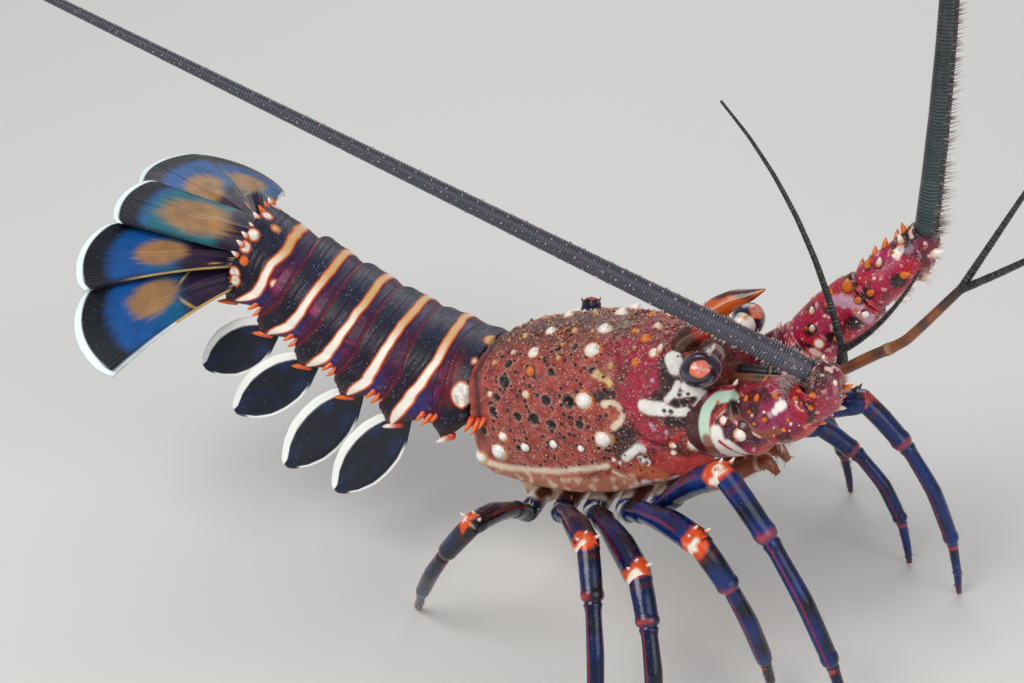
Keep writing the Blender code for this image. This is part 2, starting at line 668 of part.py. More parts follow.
def build_feeler(name, tip, frame, level, carapace):
    """Base in two nodes and the whip in two lengths, face to face."""
    to_level = level.inverted() @ frame
    base = [to_level @ Vector(point) for point in FEELER_BASE[name]]
    turn = [to_level @ Vector(point) for point in FEELER_KNUCKLE[name]]
    base_radii, end_radii = FEELER_BASE_RADII[name], FEELER_KNUCKLE_RADII[name]
    half_gap = GAP / CARAPACE_LENGTH / 2
    start = turn[-1]
    split = FEELER_SPLIT
    parts = [(i / FEELER_STEPS) ** 1.15 for i in range(FEELER_STEPS + 1)]
    whip = bowed(start, tip, FEELER_BOW[name], parts)
    taper = FEELER_RADIUS - FEELER_TIP_RADIUS
    radii = [FEELER_TIP_RADIUS + taper * (1 - part) ** 1.15 for part in parts]
    first_way = (base[-1] - base[-2]).normalized()
    whip_way = (whip[1] - whip[0]).normalized()
    middle_way = (whip[split + 1] - whip[split - 1]).normalized()
    red = (0.45, 0.03, 0.05)
    dark = (0.05, 0.04, 0.05)
    guide = (0.0, 1.0, 0.0)
    lower = tube(base[:-1] + [base[-1] - first_way * half_gap], base_radii, 10, end=first_way, guide=guide)
    turn_points = [base[-1] + first_way * half_gap] + turn[:-1] + [start - whip_way * half_gap]
    knuckle = tube(turn_points, end_radii, 10, start=first_way, end=whip_way, guide=guide)
    near = tube([start + whip_way * half_gap] + whip[1:split] + [whip[split] - middle_way * half_gap],
                radii[:split + 1], 8, start=whip_way, end=middle_way, guide=guide)
    far = tube([whip[split] + middle_way * half_gap] + whip[split + 1:], radii[split:], 8,
               start=middle_way, guide=guide)
    made = []
    for mesh, label, colour in ((lower, "base", red), (knuckle, "knuckle", red), (near, "whip_near", dark),
                                (far, "whip_far", dark)):
        full = f"antenna_{label}_{name}"
        made.append(finished(mesh, full, level, shell_material(full, colour, 0.35), PART))
    cut_clear(made[0], carapace)
    add_feeler_spines(made[0], base[2:], base_radii[2:], level, (0.35, 0.72))
    add_feeler_spines(made[1], [base[-1]] + turn, end_radii, level, (0.45,))


def add_feeler_spines(item, points, radii, frame, parts):
    """Spines in rings round a feeler's base, at parts of each stretch between its points."""
    draw = random.Random(SEED)
    base_radius, length = FEELER_SPINE
    forms = []
    for i in range(len(points) - 1):
        way = (points[i + 1] - points[i]).normalized()
        across = way.cross(Vector((0.0, 0.0, 1.0))).normalized()
        over = across.cross(way).normalized()
        if (points[i + 1] - points[i]).length < 0.05:
            continue
        for part in parts:
            for degrees in FEELER_SPINE_ROWS:
                angle = radians(degrees + draw.uniform(-12, 12))
                out = over * cos(angle) + across * sin(angle)
                radius = radii[i] + (radii[i + 1] - radii[i]) * part
                root = points[i].lerp(points[i + 1], part) + out * radius * 0.9
                size = draw.uniform(0.7, 1.15)
                forms.append((spine(root, out + way * 0.9, base_radius * size, length * size), frame))
    join_forms(item, forms)


def build_feelers(frame, level, carapace):
    build_feeler("right", RIGHT_FEELER_TIP, frame, level, carapace)
    build_feeler("left", LEFT_FEELER_TIP, frame, level, carapace)


def build_small_feelers(level, carapace):
    for name, stalk in SMALL_STALK.items():
        end = Vector(stalk[-1])
        label = f"antennule_{name}"
        item = finished(tube(stalk, SMALL_STALK_RADII[: len(stalk)], 8, guide=(0, 1, 0)), label, level,
                        shell_material(label, (0.2, 0.1, 0.04), 0.4), PART)
        (outer_bow, outer_tip), (inner_bow, inner_tip) = SMALL_WHIPS[name]
        outer = small_whip(end, outer_bow, outer_tip, -0.012)
        inner = small_whip(end, inner_bow, inner_tip, 0.0)
        join_forms(item, [(outer, level)])
        cut_clear(item, carapace)
        label = f"antennule_inner_{name}"
        whip = finished(inner, label, level, shell_material(label, (0.03, 0.03, 0.03), 0.4), PART)
        cut_clear(whip, item)


def small_whip(joint, bow, tip, standoff):
    """A thin tapered whip that starts this far from a stalk's end joint."""
    steps = SMALL_WHIP_STEPS
    way = (Vector(tip) - joint).normalized()
    points = bowed(joint + way * standoff, tip, bow, [i / steps for i in range(steps + 1)])
    root, end = SMALL_WHIP_RADII
    radii = [root + (end - root) * i / steps for i in range(steps + 1)]
    return tube(points, radii, 6, guide=(0, 1, 0))


def build_jaw_feet(frame, sternum, carapace):
    for side, name in ((-1, "right"), (1, "left")):
        mesh = tube([(x, side * y, z) for x, y, z in JAW_FOOT], JAW_FOOT_RADII, 8, guide=(0, 1, 0))
        label = f"jaw_foot_{name}"
        item = finished(mesh, label, frame, shell_material(label, (0.3, 0.12, 0.08), 0.4), PART)
        cut_clear(item, sternum)
        cut_clear(item, carapace)


clear_scene()
PART = new_collection("spiny_lobster")
CUTTERS = new_collection("cutters")
CUTTERS.hide_render = True
level = level_frame()
body = body_frame()
joints, fan = abdomen_joints()
carapace = build_carapace(body)
sternum = build_sternum(body, carapace)
segments = build_abdomen(body, joints)
add_pleuron_spines(segments, joints, body)
build_fan(body, fan, segments[5])
build_swimmerets(body, level, joints, segments)
build_legs(body, level, sternum)
eyes = build_eyes(body, carapace)
build_horns(body, carapace, eyes)
build_feelers(body, level, carapace)
build_small_feelers(level, carapace)
build_jaw_feet(body, sternum, carapace)
add_carapace_spines(carapace, body)
for item in PART.objects:
    item.data.shade_smooth()
    item.data.set_sharp_from_angle(angle=radians(40))
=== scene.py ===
import random
from math import cos, pi, radians, sin, sqrt

import bmesh
import bpy
from mathutils import Matrix, Vector, noise


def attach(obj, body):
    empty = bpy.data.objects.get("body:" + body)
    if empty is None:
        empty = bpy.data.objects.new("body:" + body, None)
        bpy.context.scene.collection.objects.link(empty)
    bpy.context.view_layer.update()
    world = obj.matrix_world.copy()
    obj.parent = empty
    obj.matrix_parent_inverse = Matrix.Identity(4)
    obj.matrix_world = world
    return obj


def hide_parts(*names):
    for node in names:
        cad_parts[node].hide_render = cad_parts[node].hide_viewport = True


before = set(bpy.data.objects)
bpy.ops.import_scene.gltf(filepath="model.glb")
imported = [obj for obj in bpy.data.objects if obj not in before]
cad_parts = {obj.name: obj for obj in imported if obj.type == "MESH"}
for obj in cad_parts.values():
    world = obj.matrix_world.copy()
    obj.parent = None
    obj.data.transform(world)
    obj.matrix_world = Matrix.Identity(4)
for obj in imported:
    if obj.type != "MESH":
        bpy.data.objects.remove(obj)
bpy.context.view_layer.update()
print("frame loaded")


# the pose: everything below is in carapace lengths until a frame takes it to metres
body = {
    "carapaceLength": 0.070,
    "height": 0.85,  # of the body axis over the floor
    "pitch": 15.0,
    "shift": (-0.0122, 0.0122),
}
levelFrame = Matrix.Translation((*body["shift"], body["height"] * body["carapaceLength"]))
levelFrame = levelFrame @ Matrix.Scale(body["carapaceLength"], 4)
bodyFrame = levelFrame @ Matrix.Rotation(radians(-body["pitch"]), 4, "Y")
toLevel = levelFrame.inverted() @ bodyFrame
sides = ((-1, "right"), (1, "left"))
slices = 50  # per carapace length, to find the marks near a point


# small sums used all over
def step(low, high, value):
    part = min(1.0, max(0.0, (value - low) / (high - low)))
    return part * part * (3 - 2 * part)


def bump(centre, half, value):  # 1 at the centre, 0 at half a width away
    return 1 - step(0.0, half, abs(value - centre))


def blend(first, second, part):
    return tuple(a + (b - a) * part for a, b in zip(first, second))


def along(stations, values, x):  # a smooth curve through the values
    if x <= stations[0]:
        return values[0]
    for i in range(len(stations) - 1):
        if x <= stations[i + 1]:
            a, b = values[i], values[i + 1]
            before = values[max(i - 1, 0)]
            after = values[min(i + 2, len(values) - 1)]
            t = (x - stations[i]) / (stations[i + 1] - stations[i])
            smooth = 0.5 * (2 * a + (b - before) * t + (2 * before - 5 * a + 4 * b - after) * t * t
                            + (3 * a - before - 3 * b + after) * t ** 3)
            flat = a + (b - a) * t
            return 0.5 * (smooth + flat)
    return values[-1]


def inside(v, cap):  # how far along between two ends that each take this share of the rows
    return min(1.0, max(0.0, (v - cap) / (1 - 2 * cap)))


def between(first, second, part):  # the frame this part of the way along
    turn = first.to_quaternion().slerp(second.to_quaternion(), part)
    place = first.to_translation().lerp(second.to_translation(), part)
    return Matrix.Translation(place) @ turn.to_matrix().to_4x4()


def rough(point, size, seed=0.0):  # soft noise, -1 to 1
    return noise.noise(Vector(point) / size + Vector((seed, seed * 1.7, -seed)))


# how meshes are grown: a grid from Blender, each of its points then taken to its place.
# u runs round the form and v from root to tip
def grow(mesh, place, paint, around, rows, wrap=True, patch=None):
    tone = mesh.verts.layers.float_color.get("tone") or mesh.verts.layers.float_color.new("tone")
    spots = mesh.verts.layers.float_vector.get("patch")
    if patch and not spots:
        spots = mesh.verts.layers.float_vector.new("patch")
        tone = mesh.verts.layers.float_color["tone"]
    made = bmesh.ops.create_grid(mesh, x_segments=around, y_segments=rows, size=1.0)["verts"]
    for vert in made:
        u, v = (vert.co.x + 1) / 2, (vert.co.y + 1) / 2
        vert.co = place(u, v)
        vert[tone] = paint(u, v, vert.co)
        if patch:
            vert[spots] = (patch[0] + 0.003 * u, patch[1] + 0.003 * v, 0.0)
    if wrap:
        bmesh.ops.remove_doubles(mesh, verts=made, dist=0.0000005)


def finished(mesh, name, material, slotName, *nodes):
    loose = [edge for edge in mesh.edges if not edge.link_faces]
    bmesh.ops.delete(mesh, geom=loose, context="EDGES")
    bmesh.ops.recalc_face_normals(mesh, faces=mesh.faces)
    spots = mesh.verts.layers.float_vector.get("patch")
    if spots:  # hairs: each takes its colour from a small patch at its root on the skin's unwrap
        unwrap = mesh.loops.layers.uv.new("OFBake")
        spots = mesh.verts.layers.float_vector["patch"]
        for face in mesh.faces:
            for loop in face.loops:
                loop[unwrap].uv = loop.vert[spots].xy
    data = bpy.data.meshes.new(name)
    mesh.to_mesh(data)
    mesh.free()
    piece = bpy.data.objects.new(name, data)
    bpy.context.scene.collection.objects.link(piece)
    data.materials.append(material)
    data.shade_smooth()
    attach(piece, "root")
    if nodes:
        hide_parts(*nodes)


def grown(place, paint, grid, *names):  # a piece of one form
    mesh = bmesh.new()
    grow(mesh, place, paint, *grid)
    finished(mesh, *names)


# node trees in few lines
class Finish:
    def __init__(self, name, roughness, coat=0.0, coatRoughness=0.1, specular=0.5):
        self.material = bpy.data.materials.new(name)
        self.material.use_nodes = True
        self.tree = self.material.node_tree
        self.shader = self.tree.nodes["Principled BSDF"]
        self.shader.inputs["Roughness"].default_value = roughness
        self.shader.inputs["Coat Weight"].default_value = coat
        self.shader.inputs["Coat Roughness"].default_value = coatRoughness
        self.shader.inputs["Specular IOR Level"].default_value = specular
        self.coords = self.tree.nodes.new("ShaderNodeTexCoord").outputs["Object"]
        self.tone = self.tree.nodes.new("ShaderNodeVertexColor")
        self.tone.layer_name = "tone"
        self.colour = self.tone.outputs["Color"]
        self.share = self.tone.outputs["Alpha"]

    def put(self, socket, value):
        if isinstance(value, bpy.types.NodeSocket):
            self.tree.links.new(value, socket)
        else:
            socket.default_value = value

    def noise(self, size, detail=3.0, roughness=0.55):
        node = self.tree.nodes.new("ShaderNodeTexNoise")
        self.put(node.inputs["Vector"], self.coords)
        node.inputs["Scale"].default_value = 1 / size
        node.inputs["Detail"].default_value = detail
        node.inputs["Roughness"].default_value = roughness
        return node.outputs["Fac"]

    def cells(self, size, randomness=1.0):
        node = self.tree.nodes.new("ShaderNodeTexVoronoi")
        self.put(node.inputs["Vector"], self.coords)
        node.inputs["Scale"].default_value = 1 / size
        node.inputs["Randomness"].default_value = randomness
        return node.outputs["Distance"]

    def ramp(self, value, *stops):
        node = self.tree.nodes.new("ShaderNodeValToRGB")
        self.put(node.inputs["Fac"], value)
        elements = node.color_ramp.elements
        while len(elements) < len(stops):
            elements.new(0.5)
        for element, (place, level) in zip(elements, stops):
            element.position = place
            element.color = (level, level, level, 1.0)
        return node.outputs["Color"]

    def sums(self, kind, first, second):
        node = self.tree.nodes.new("ShaderNodeMath")
        node.operation = kind
        self.put(node.inputs[0], first)
        self.put(node.inputs[1], second)
        return node.outputs[0]

    def times(self, first, second):
        return self.sums("MULTIPLY", first, second)

    def mix(self, part, first, second):
        node = self.tree.nodes.new("ShaderNodeMix")
        node.data_type = "RGBA"
        self.put(node.inputs["Factor"], part)
        self.put(node.inputs["A"], first)
        self.put(node.inputs["B"], second)
        return node.outputs["Result"]

    def dots(self, size, full, none):  # round spots, full and gone at these distances
        return self.ramp(self.cells(size), (full, 1.0), (none, 0.0))

    def clouds(self, size, none, full, detail=3.0):
        return self.ramp(self.noise(size, detail), (none, 0.0), (full, 1.0))

    def tint(self, part, amount, *colour):  # this much of a colour where part is 1
        self.colour = self.mix(self.times(part, amount), self.colour, (*colour, 1.0))

    def wear(self, height, depth, gloss=None):  # bumps and gloss, then the material is done
        node = self.tree.nodes.new("ShaderNodeBump")
        node.inputs["Strength"].default_value = 1.0
        node.inputs["Distance"].default_value = depth
        self.put(node.inputs["Height"], height)
        self.tree.links.new(node.outputs["Normal"], self.shader.inputs["Normal"])
        if gloss is not None:
            self.tree.links.new(gloss, self.shader.inputs["Roughness"])
        self.tree.links.new(self.colour, self.shader.inputs["Base Color"])
        return self.material


def rgb(red, green, blue):  # as seen on a screen, 0 to 255
    return tuple((value / 255) ** 2.2 for value in (red, green, blue))


def shaded(colour, share):  # a colour with its fourth number
    return (*colour, share)


class Marks:
    # spots and strokes of paint on a form, found by their distance in carapace lengths
    def __init__(self):
        self.strokes = []
        self.near = {}

    def add(self, points, half, soft, colour, strength=1.0):
        points = [Vector(point) for point in points]
        low = [min(point[i] for point in points) - half - soft for i in range(3)]
        high = [max(point[i] for point in points) + half + soft for i in range(3)]
        self.strokes.append((points, half, soft, colour, strength, low, high))
        for cell in range(int(low[0] * slices) - 1, int(high[0] * slices) + 2):
            self.near.setdefault(cell, []).append(self.strokes[-1])

    def over(self, colour, point):
        for points, half, soft, mark, strength, low, high in self.near.get(int(point.x * slices), ()):
            if any(point[i] < low[i] or point[i] > high[i] for i in range(3)):
                continue
            away = (point - points[0]).length
            for first, second in zip(points, points[1:]):
                way = second - first
                part = min(1.0, max(0.0, (point - first).dot(way) / way.length_squared))
                away = min(away, (point - first - way * part).length)
            cover = strength * (1 - step(half - soft, half + soft, away))
            if cover > 0:
                colour = blend(colour, mark, cover)
        return colour


# carapace
carapace = {
    # x from the rear edge, and there half the width and the heights of the back and of the lower edge
    "stations": (0.0, 0.05, 0.18, 0.33, 0.47, 0.58, 0.63, 0.74, 0.84, 0.92, 0.97),
    "halfWidth": (0.235, 0.262, 0.285, 0.297, 0.3, 0.293, 0.285, 0.29, 0.275, 0.25, 0.2),
    "top": (0.165, 0.195, 0.225, 0.235, 0.235, 0.222, 0.208, 0.215, 0.2, 0.175, 0.14),
    "margin": (-0.235, -0.27, -0.315, -0.34, -0.345, -0.34, -0.33, -0.31, -0.28, -0.25, -0.2),
    "cornerSweep": 0.08,
    "orbit": (0.985, 0.235, 0.10, 0.088),  # centre and radius of the hollow round the eye
    # x of the groove across the neck, at these degrees from the back's middle
    "groove": ((0.60, 0.0), (0.605, 25.0), (0.60, 45.0), (0.575, 60.0), (0.62, 69.0), (0.67, 76.0),
               (0.76, 80.0), (0.84, 86.0)),
    "frontX": 0.97,
    "outside": 0.86,  # share of the way round that shows, the rest is turned in
    "ends": (0.03, 0.95),  # shares of the rows where the rear end closes and the front end starts to
    "grid": (330, 260),
    "brown": rgb(172, 66, 58),
    "back": rgb(80, 46, 44),
    "cheek": rgb(182, 26, 66),
    "pale": rgb(240, 216, 188),
    "white": rgb(252, 247, 240),
    "orange": rgb(228, 122, 34),
    "tan": rgb(214, 160, 104),
    "shadow": rgb(24, 14, 18),
    "green": rgb(160, 214, 184),
    "salmon": rgb(190, 60, 56),
    "rust": rgb(196, 100, 64),
    "yellow": rgb(242, 206, 136),
    "lilac": rgb(206, 176, 204),
    "flank": rgb(176, 92, 70),
    "front": rgb(112, 26, 38),
    "light": rgb(206, 120, 100),
    "dark": rgb(46, 16, 20),
    "shelf": rgb(172, 114, 88),
    # x, degrees from the back's middle, radius, colour of the cap and of the ring round it
    "knobs": (
        (0.492, 63.0, 0.037, "white", "orange"), (0.534, 75.0, 0.037, "white", "tan"),
        (0.012, 87.0, 0.034, "white", "tan"), (0.084, 81.6, 0.037, "white", "tan"),
        (0.192, 78.0, 0.023, "white", "shadow"), (0.318, 76.2, 0.021, "white", "shadow"),
        (0.432, 77.4, 0.017, "white", "shadow"), (0.114, 75.6, 0.022, "white", "orange"),
        (0.282, 37.2, 0.027, "white", "orange"), (0.312, 14.4, 0.025, "white", "orange"),
        (0.540, 13.8, 0.030, "white", "tan"), (0.534, 37.2, 0.036, "white", "orange"),
        (0.732, 25.8, 0.025, "orange", "salmon"), (0.786, 40.8, 0.022, "white", "orange"),
        (0.720, 49.2, 0.018, "orange", "salmon"), (0.282, 52.8, 0.022, "orange", "shadow"),
        (0.186, 34.8, 0.014, "pale", "brown"), (0.618, 51.6, 0.015, "tan", "brown"),
        (0.750, 10.8, 0.021, "pale", "orange"), (0.096, 60.0, 0.016, "pale", "brown"),
        (0.246, 60.6, 0.018, "pale", "orange"), (0.798, 82.8, 0.012, "white", "orange"),
        (0.882, 82.4, 0.030, "white", "orange"), (0.660, 14.0, 0.016, "orange", "brown"),
        (0.420, 16.0, 0.017, "tan", "brown"), (0.200, 16.0, 0.018, "tan", "brown"),
        (0.400, 44.0, 0.013, "tan", "brown"), (0.110, 42.0, 0.015, "tan", "brown"),
    ),
    # dark pits: x, degrees, radius
    "pits": (
        (0.18, 46.2, 0.02), (0.162, 55.8, 0.028), (0.12, 61.2, 0.018), (0.096, 66.6, 0.022),
        (0.042, 74.4, 0.02), (0.108, 74.4, 0.013), (0.384, 34.2, 0.018), (0.456, 34.8, 0.017),
        (0.372, 53.4, 0.017), (0.33, 62.4, 0.023), (0.426, 63.0, 0.029), (0.192, 67.8, 0.021),
        (0.258, 68.4, 0.025), (0.33, 70.2, 0.022), (0.45, 70.2, 0.02), (0.546, 53.4, 0.019),
        (0.726, 60.0, 0.015), (0.684, 60.6, 0.012), (0.654, 56.4, 0.012), (0.816, 59.4, 0.012),
        (0.162, 78.6, 0.015), (0.294, 76.2, 0.014), (0.69, 49.2, 0.017), (0.294, 34.0, 0.01),
        (0.268, 50.5, 0.01), (0.296, 55.0, 0.01),
    ),
    # strokes of paint: places as x and degrees, half width, softness, colour, strength
    "strokes": (
        (((0.60, 0), (0.605, 25), (0.61, 40), (0.60, 55)), 0.02, 0.02, "pale", 0.2),
        (((0.62, 31), (0.70, 40), (0.804, 49), (0.80, 61), (0.72, 58), (0.666, 65)),
         0.05, 0.035, "cheek", 0.9),
        (((0.666, 65), (0.69, 70), (0.756, 75.6), (0.70, 77)), 0.03, 0.02, "cheek", 0.9),
        (((0.84, 50), (0.834, 61.8), (0.792, 64.2)), 0.034, 0.014, "shadow", 0.95),
        (((0.86, 46), (0.91, 56), (0.95, 60)), 0.034, 0.014, "shadow", 0.95),
        (((0.816, 72.3), (0.894, 74.6)), 0.024, 0.012, "shadow", 0.95),
        (((0.546, 61.8), (0.60, 61.2)), 0.022, 0.008, "shadow", 0.95),
        (((0.612, 73.5), (0.63, 76.5), (0.59, 78.6)), 0.038, 0.014, "shadow", 0.93),
        (((0.588, 67.2),), 0.026, 0.012, "rust", 0.7),
        (((0.57, 64.2), (0.594, 63.6), (0.618, 64.8), (0.63, 67.2), (0.618, 69.6), (0.588, 71.4)),
         0.014, 0.005, "pale", 1.0),
        (((0.558, 54.6), (0.60, 57.6)), 0.016, 0.005, "yellow", 1.0),
        (((0.04, 87.5), (0.108, 86.4), (0.192, 85.2), (0.3, 84.6), (0.42, 83.4), (0.516, 82.8)),
         0.013, 0.009, "pale", 0.95),
        (((0.55, 81.2),), 0.008, 0.003, "white", 1.0), (((0.572, 82.2),), 0.007, 0.003, "white", 1.0),
        (((0.592, 81.2),), 0.007, 0.003, "white", 1.0),
        (((0.60, 81), (0.66, 78.6), (0.678, 79.2)), 0.016, 0.006, "white", 1.0),
        (((0.08, 89.0), (0.35, 88.8), (0.60, 89.2)), 0.007, 0.004, "salmon", 0.95),
        (((0.534, 84.6), (0.612, 88.2), (0.642, 90)), 0.006, 0.004, "pale", 0.9),
        (((0.642, 85), (0.68, 86.4), (0.724, 88)), 0.030, 0.012, "rust", 0.9),
        (((0.66, 82.2),), 0.014, 0.004, "white", 0.9), (((0.684, 83.4),), 0.013, 0.004, "white", 0.9),
        (((0.656, 82.2),), 0.007, 0.003, "shadow", 1.0), (((0.680, 83.6),), 0.007, 0.003, "shadow", 1.0),
        (((0.645, 85.6),), 0.006, 0.003, "shadow", 1.0), (((0.668, 86.6),), 0.006, 0.003, "shadow", 1.0),
        (((0.694, 86.4),), 0.006, 0.003, "shadow", 1.0), (((0.712, 88.2),), 0.006, 0.003, "shadow", 1.0),
        (((0.642, 88.8), (0.786, 90)), 0.010, 0.005, "white", 0.9),
        (((0.745, 83.8), (0.804, 87), (0.906, 90)), 0.034, 0.014, "salmon", 0.95),
        (((0.816, 78.6), (0.828, 77.4), (0.858, 77.4)), 0.017, 0.006, "salmon", 1.0),
        # painted highlights: these lilac spots and the short lilac streak are glints of light on the shell
        (((0.738, 72), (0.75, 73.8)), 0.006, 0.004, "lilac", 0.9),
        (((0.792, 75.6),), 0.008, 0.004, "lilac", 0.9), (((0.78, 57.6),), 0.008, 0.004, "lilac", 0.9),
        (((0.732, 66), (0.765, 67), (0.798, 67.8)), 0.028, 0.005, "white", 1.0),
        (((0.798, 67.8), (0.852, 69.6), (0.912, 70.8)), 0.018, 0.004, "white", 1.0),
        (((0.912, 70.8), (0.935, 68), (0.942, 65.4), (0.894, 60.6)), 0.017, 0.004, "white", 1.0),
        (((0.87, 59.4), (0.852, 62.4), (0.822, 64.8)), 0.012, 0.004, "white", 0.95),
        (((0.86, 63.6), (0.91, 63.8)), 0.011, 0.004, "white", 0.95),
        (((0.906, 70.8), (0.90, 76.2)), 0.005, 0.003, "white", 0.8),
        (((0.804, 68.4),), 0.009, 0.003, "shadow", 1.0), (((0.828, 69.0),), 0.010, 0.003, "shadow", 1.0),
        (((0.852, 66.6),), 0.017, 0.003, "shadow", 1.0), (((0.882, 66.6),), 0.016, 0.003, "shadow", 1.0),
        (((0.912, 66.0),), 0.013, 0.003, "shadow", 1.0), (((0.90, 69.0),), 0.009, 0.003, "shadow", 1.0),
        (((0.87, 63.6),), 0.009, 0.003, "shadow", 1.0), (((0.90, 63.6),), 0.008, 0.003, "shadow", 1.0),
        (((0.858, 46.2), (0.87, 52.8)), 0.030, 0.005, "white", 1.0),
        (((0.94, 84), (0.945, 76), (0.965, 70), (0.985, 66)), 0.016, 0.008, "green", 0.8),
    ),
}


def carapacePoint(x, angle):
    c = carapace
    width = along(c["stations"], c["halfWidth"], x)
    top = along(c["stations"], c["top"], x)
    margin = along(c["stations"], c["margin"], x)
    height = cos(radians(angle))
    low = max(0.0, 1 - 1.6 * height)
    rear = max(0.0, 1 - x / 0.3) ** 2
    y = width * sin(radians(angle)) * (1 - 0.10 * low * low)
    z = top * max(0.0, height) ** 0.85 + margin * low
    return Vector((x - c["cornerSweep"] * rear * (1 - height), y, z))


def carapaceGrid(u, v):  # x, side, share of the way round and degrees from the back's middle
    c = carapace
    start, end = c["ends"]
    x = c["frontX"] * min(1.0, max(0.0, (v - start) / (end - start)))
    span = abs(2 * u - 1)
    return x, 1 if u > 0.5 else -1, span, 90 * (span / c["outside"]) ** 0.9


def outOf(x, angle):  # which way the carapace faces
    across = carapacePoint(x, angle + 2) - carapacePoint(x, angle - 2)
    lengthways = carapacePoint(x + 0.02, angle) - carapacePoint(x - 0.02, angle)
    return lengthways.cross(across).normalized()


def carapaceMarks():
    c = carapace
    marks = Marks()
    for side in (-1, 1):
        def at(x, angle, side=side):
            return carapacePoint(x, side * angle)
        for x, angle, size in c["pits"]:
            marks.add([at(x, angle)], size * 1.25, 0.006, c["pale"], 0.24)
            marks.add([at(x, angle)], size * 0.92, 0.004, c["shadow"], 1.0)
        for places, half, soft, colour, strength in c["strokes"]:
            marks.add([at(x, angle) for x, angle in places], half, soft, c[colour], strength)
        for x, angle, size, _, ring in c["knobs"]:
            marks.add([at(x, angle)], size * 1.04, 0.006, c[ring], 0.9)
    return marks


def carapaceDents():  # the larger pits again, by slices along the back
    near = {}
    for side in (-1, 1):
        for x, angle, size in carapace["pits"]:
            point = carapacePoint(x, side * angle)
            for cell in range(int(point.x * slices) - 2, int(point.x * slices) + 3):
                near.setdefault(cell, []).append((point, size))
    return near


dents = carapaceDents()


def carapacePlace(u, v):
    c = carapace
    x, side, span, angle = carapaceGrid(u, v)
    start, end = c["ends"]
    if span < c["outside"]:
        point = carapacePoint(x, side * angle)
        depth = 0.0
        for first, second in zip(c["groove"], c["groove"][1:]):
            if first[1] <= angle <= second[1] or (angle > 86 and second[1] == 86):
                share = (angle - first[1]) / max(1.0, second[1] - first[1])
                where = first[0] + (second[0] - first[0]) * min(1.0, share)
                depth = 0.012 * bump(where, 0.035, x)
        rim = 0.008 * bump(0.012, 0.02, x) + 0.006 * step(84, 90, angle) - 0.005 * bump(0.045, 0.03, x)
        grain = 0.002 * rough(point, 0.014) + 0.003 * rough(point, 0.03, 7) + 0.004 * rough(point, 0.09, 3)
        for pit, size in dents.get(int(point.x * slices), ()):
            away = (point - pit).length
            if away < size * 1.4:
                grain += 0.003 * bump(size * 1.1, size * 0.3, away)
                grain -= 0.4 * size * bump(0.0, size * 0.95, away)
        point += outOf(max(0.02, x), side * angle) * (rim + grain - depth)
        ox, oy, oz, size = c["orbit"]
        centre = Vector((ox, side * oy, oz))
        if (point - centre).length < size:
            point = centre + (point - centre).normalized() * size
    else:
        edge = carapacePoint(x, side * 90)
        edge += outOf(max(0.02, x), side * 90) * 0.006
        inward = (span - c["outside"]) / (1 - c["outside"])
        lip = min(1.0, inward * 4)
        point = edge + Vector((0.0, -side * 0.03 * lip, 0.02 * lip))
        point.y *= 1 - inward
        point.z += 0.025 * inward
    if v < start:
        point = point.lerp(Vector((0.012, 0.0, 0.0)), 1 - v / start)
    if v > end:
        close = (v - end) / (1 - end)
        centre = Vector((0.98, 0.0, -0.02))
        point = point.lerp(centre, close) + Vector((0.012 * sin(pi * min(1.0, close * 2)), 0.0, 0.0))
    return bodyFrame @ point


def paintCarapace(marks):
    c = carapace
    back = bodyFrame.inverted()

    def paint(u, v, place):
        point = back @ place
        x, _, span, angle = carapaceGrid(u, v)
        high = 1 - step(10, 46, angle)
        colour = blend(c["brown"], c["back"], 0.9 * high)
        colour = blend(colour, c["flank"], 0.35 * step(66, 84, angle) * (1 - step(0.55, 0.7, x)))
        colour = blend(colour, c["front"], 0.7 * step(0.6, 0.66, x) * (1 - high))
        colour = blend(colour, c["cheek"], 0.45 * step(0.6, 0.66, x) * high * (1 - step(0.8, 0.9, x)))
        mottle = rough(point, 0.035, 5) + 0.6 * rough(point, 0.013, 8)
        colour = blend(colour, c["light"], 0.34 * step(0.0, 0.8, mottle))
        colour = blend(colour, c["dark"], 0.5 * step(0.0, 0.8, -mottle))
        if angle > 84.5 and x < 0.62:
            shelf = blend(c["shelf"], c["pale"], 0.7 * step(0.0, 0.4, rough(point, 0.03, 12)))
            colour = blend(colour, shelf, 0.8 * step(85, 87, angle))
        if span > c["outside"]:
            colour = blend(c["brown"], c["pale"], 0.4)
        colour = marks.over(colour, point)
        # painted shade: a dark band in the groove along the rear edge, where the carapace meets the first
        # abdomen ring
        colour = blend(colour, c["shadow"], 0.85 * bump(0.034, 0.022, x) * (1 - step(74, 84, angle)))
        colour = blend(colour, c["pale"], 0.5 * bump(0.004, 0.012, x) * step(60, 80, angle))
        pits = step(0.03, 0.08, x) * (1 - 0.55 * step(0.58, 0.64, x))
        pits *= (1 - 0.45 * high) * (1 - step(83, 86, angle))
        plain = step(0.30, 0.42, min(colour)) + 1 - step(0.006, 0.02, max(colour))
        return shaded(colour, pits * (1 - min(1.0, plain)))
    return paint


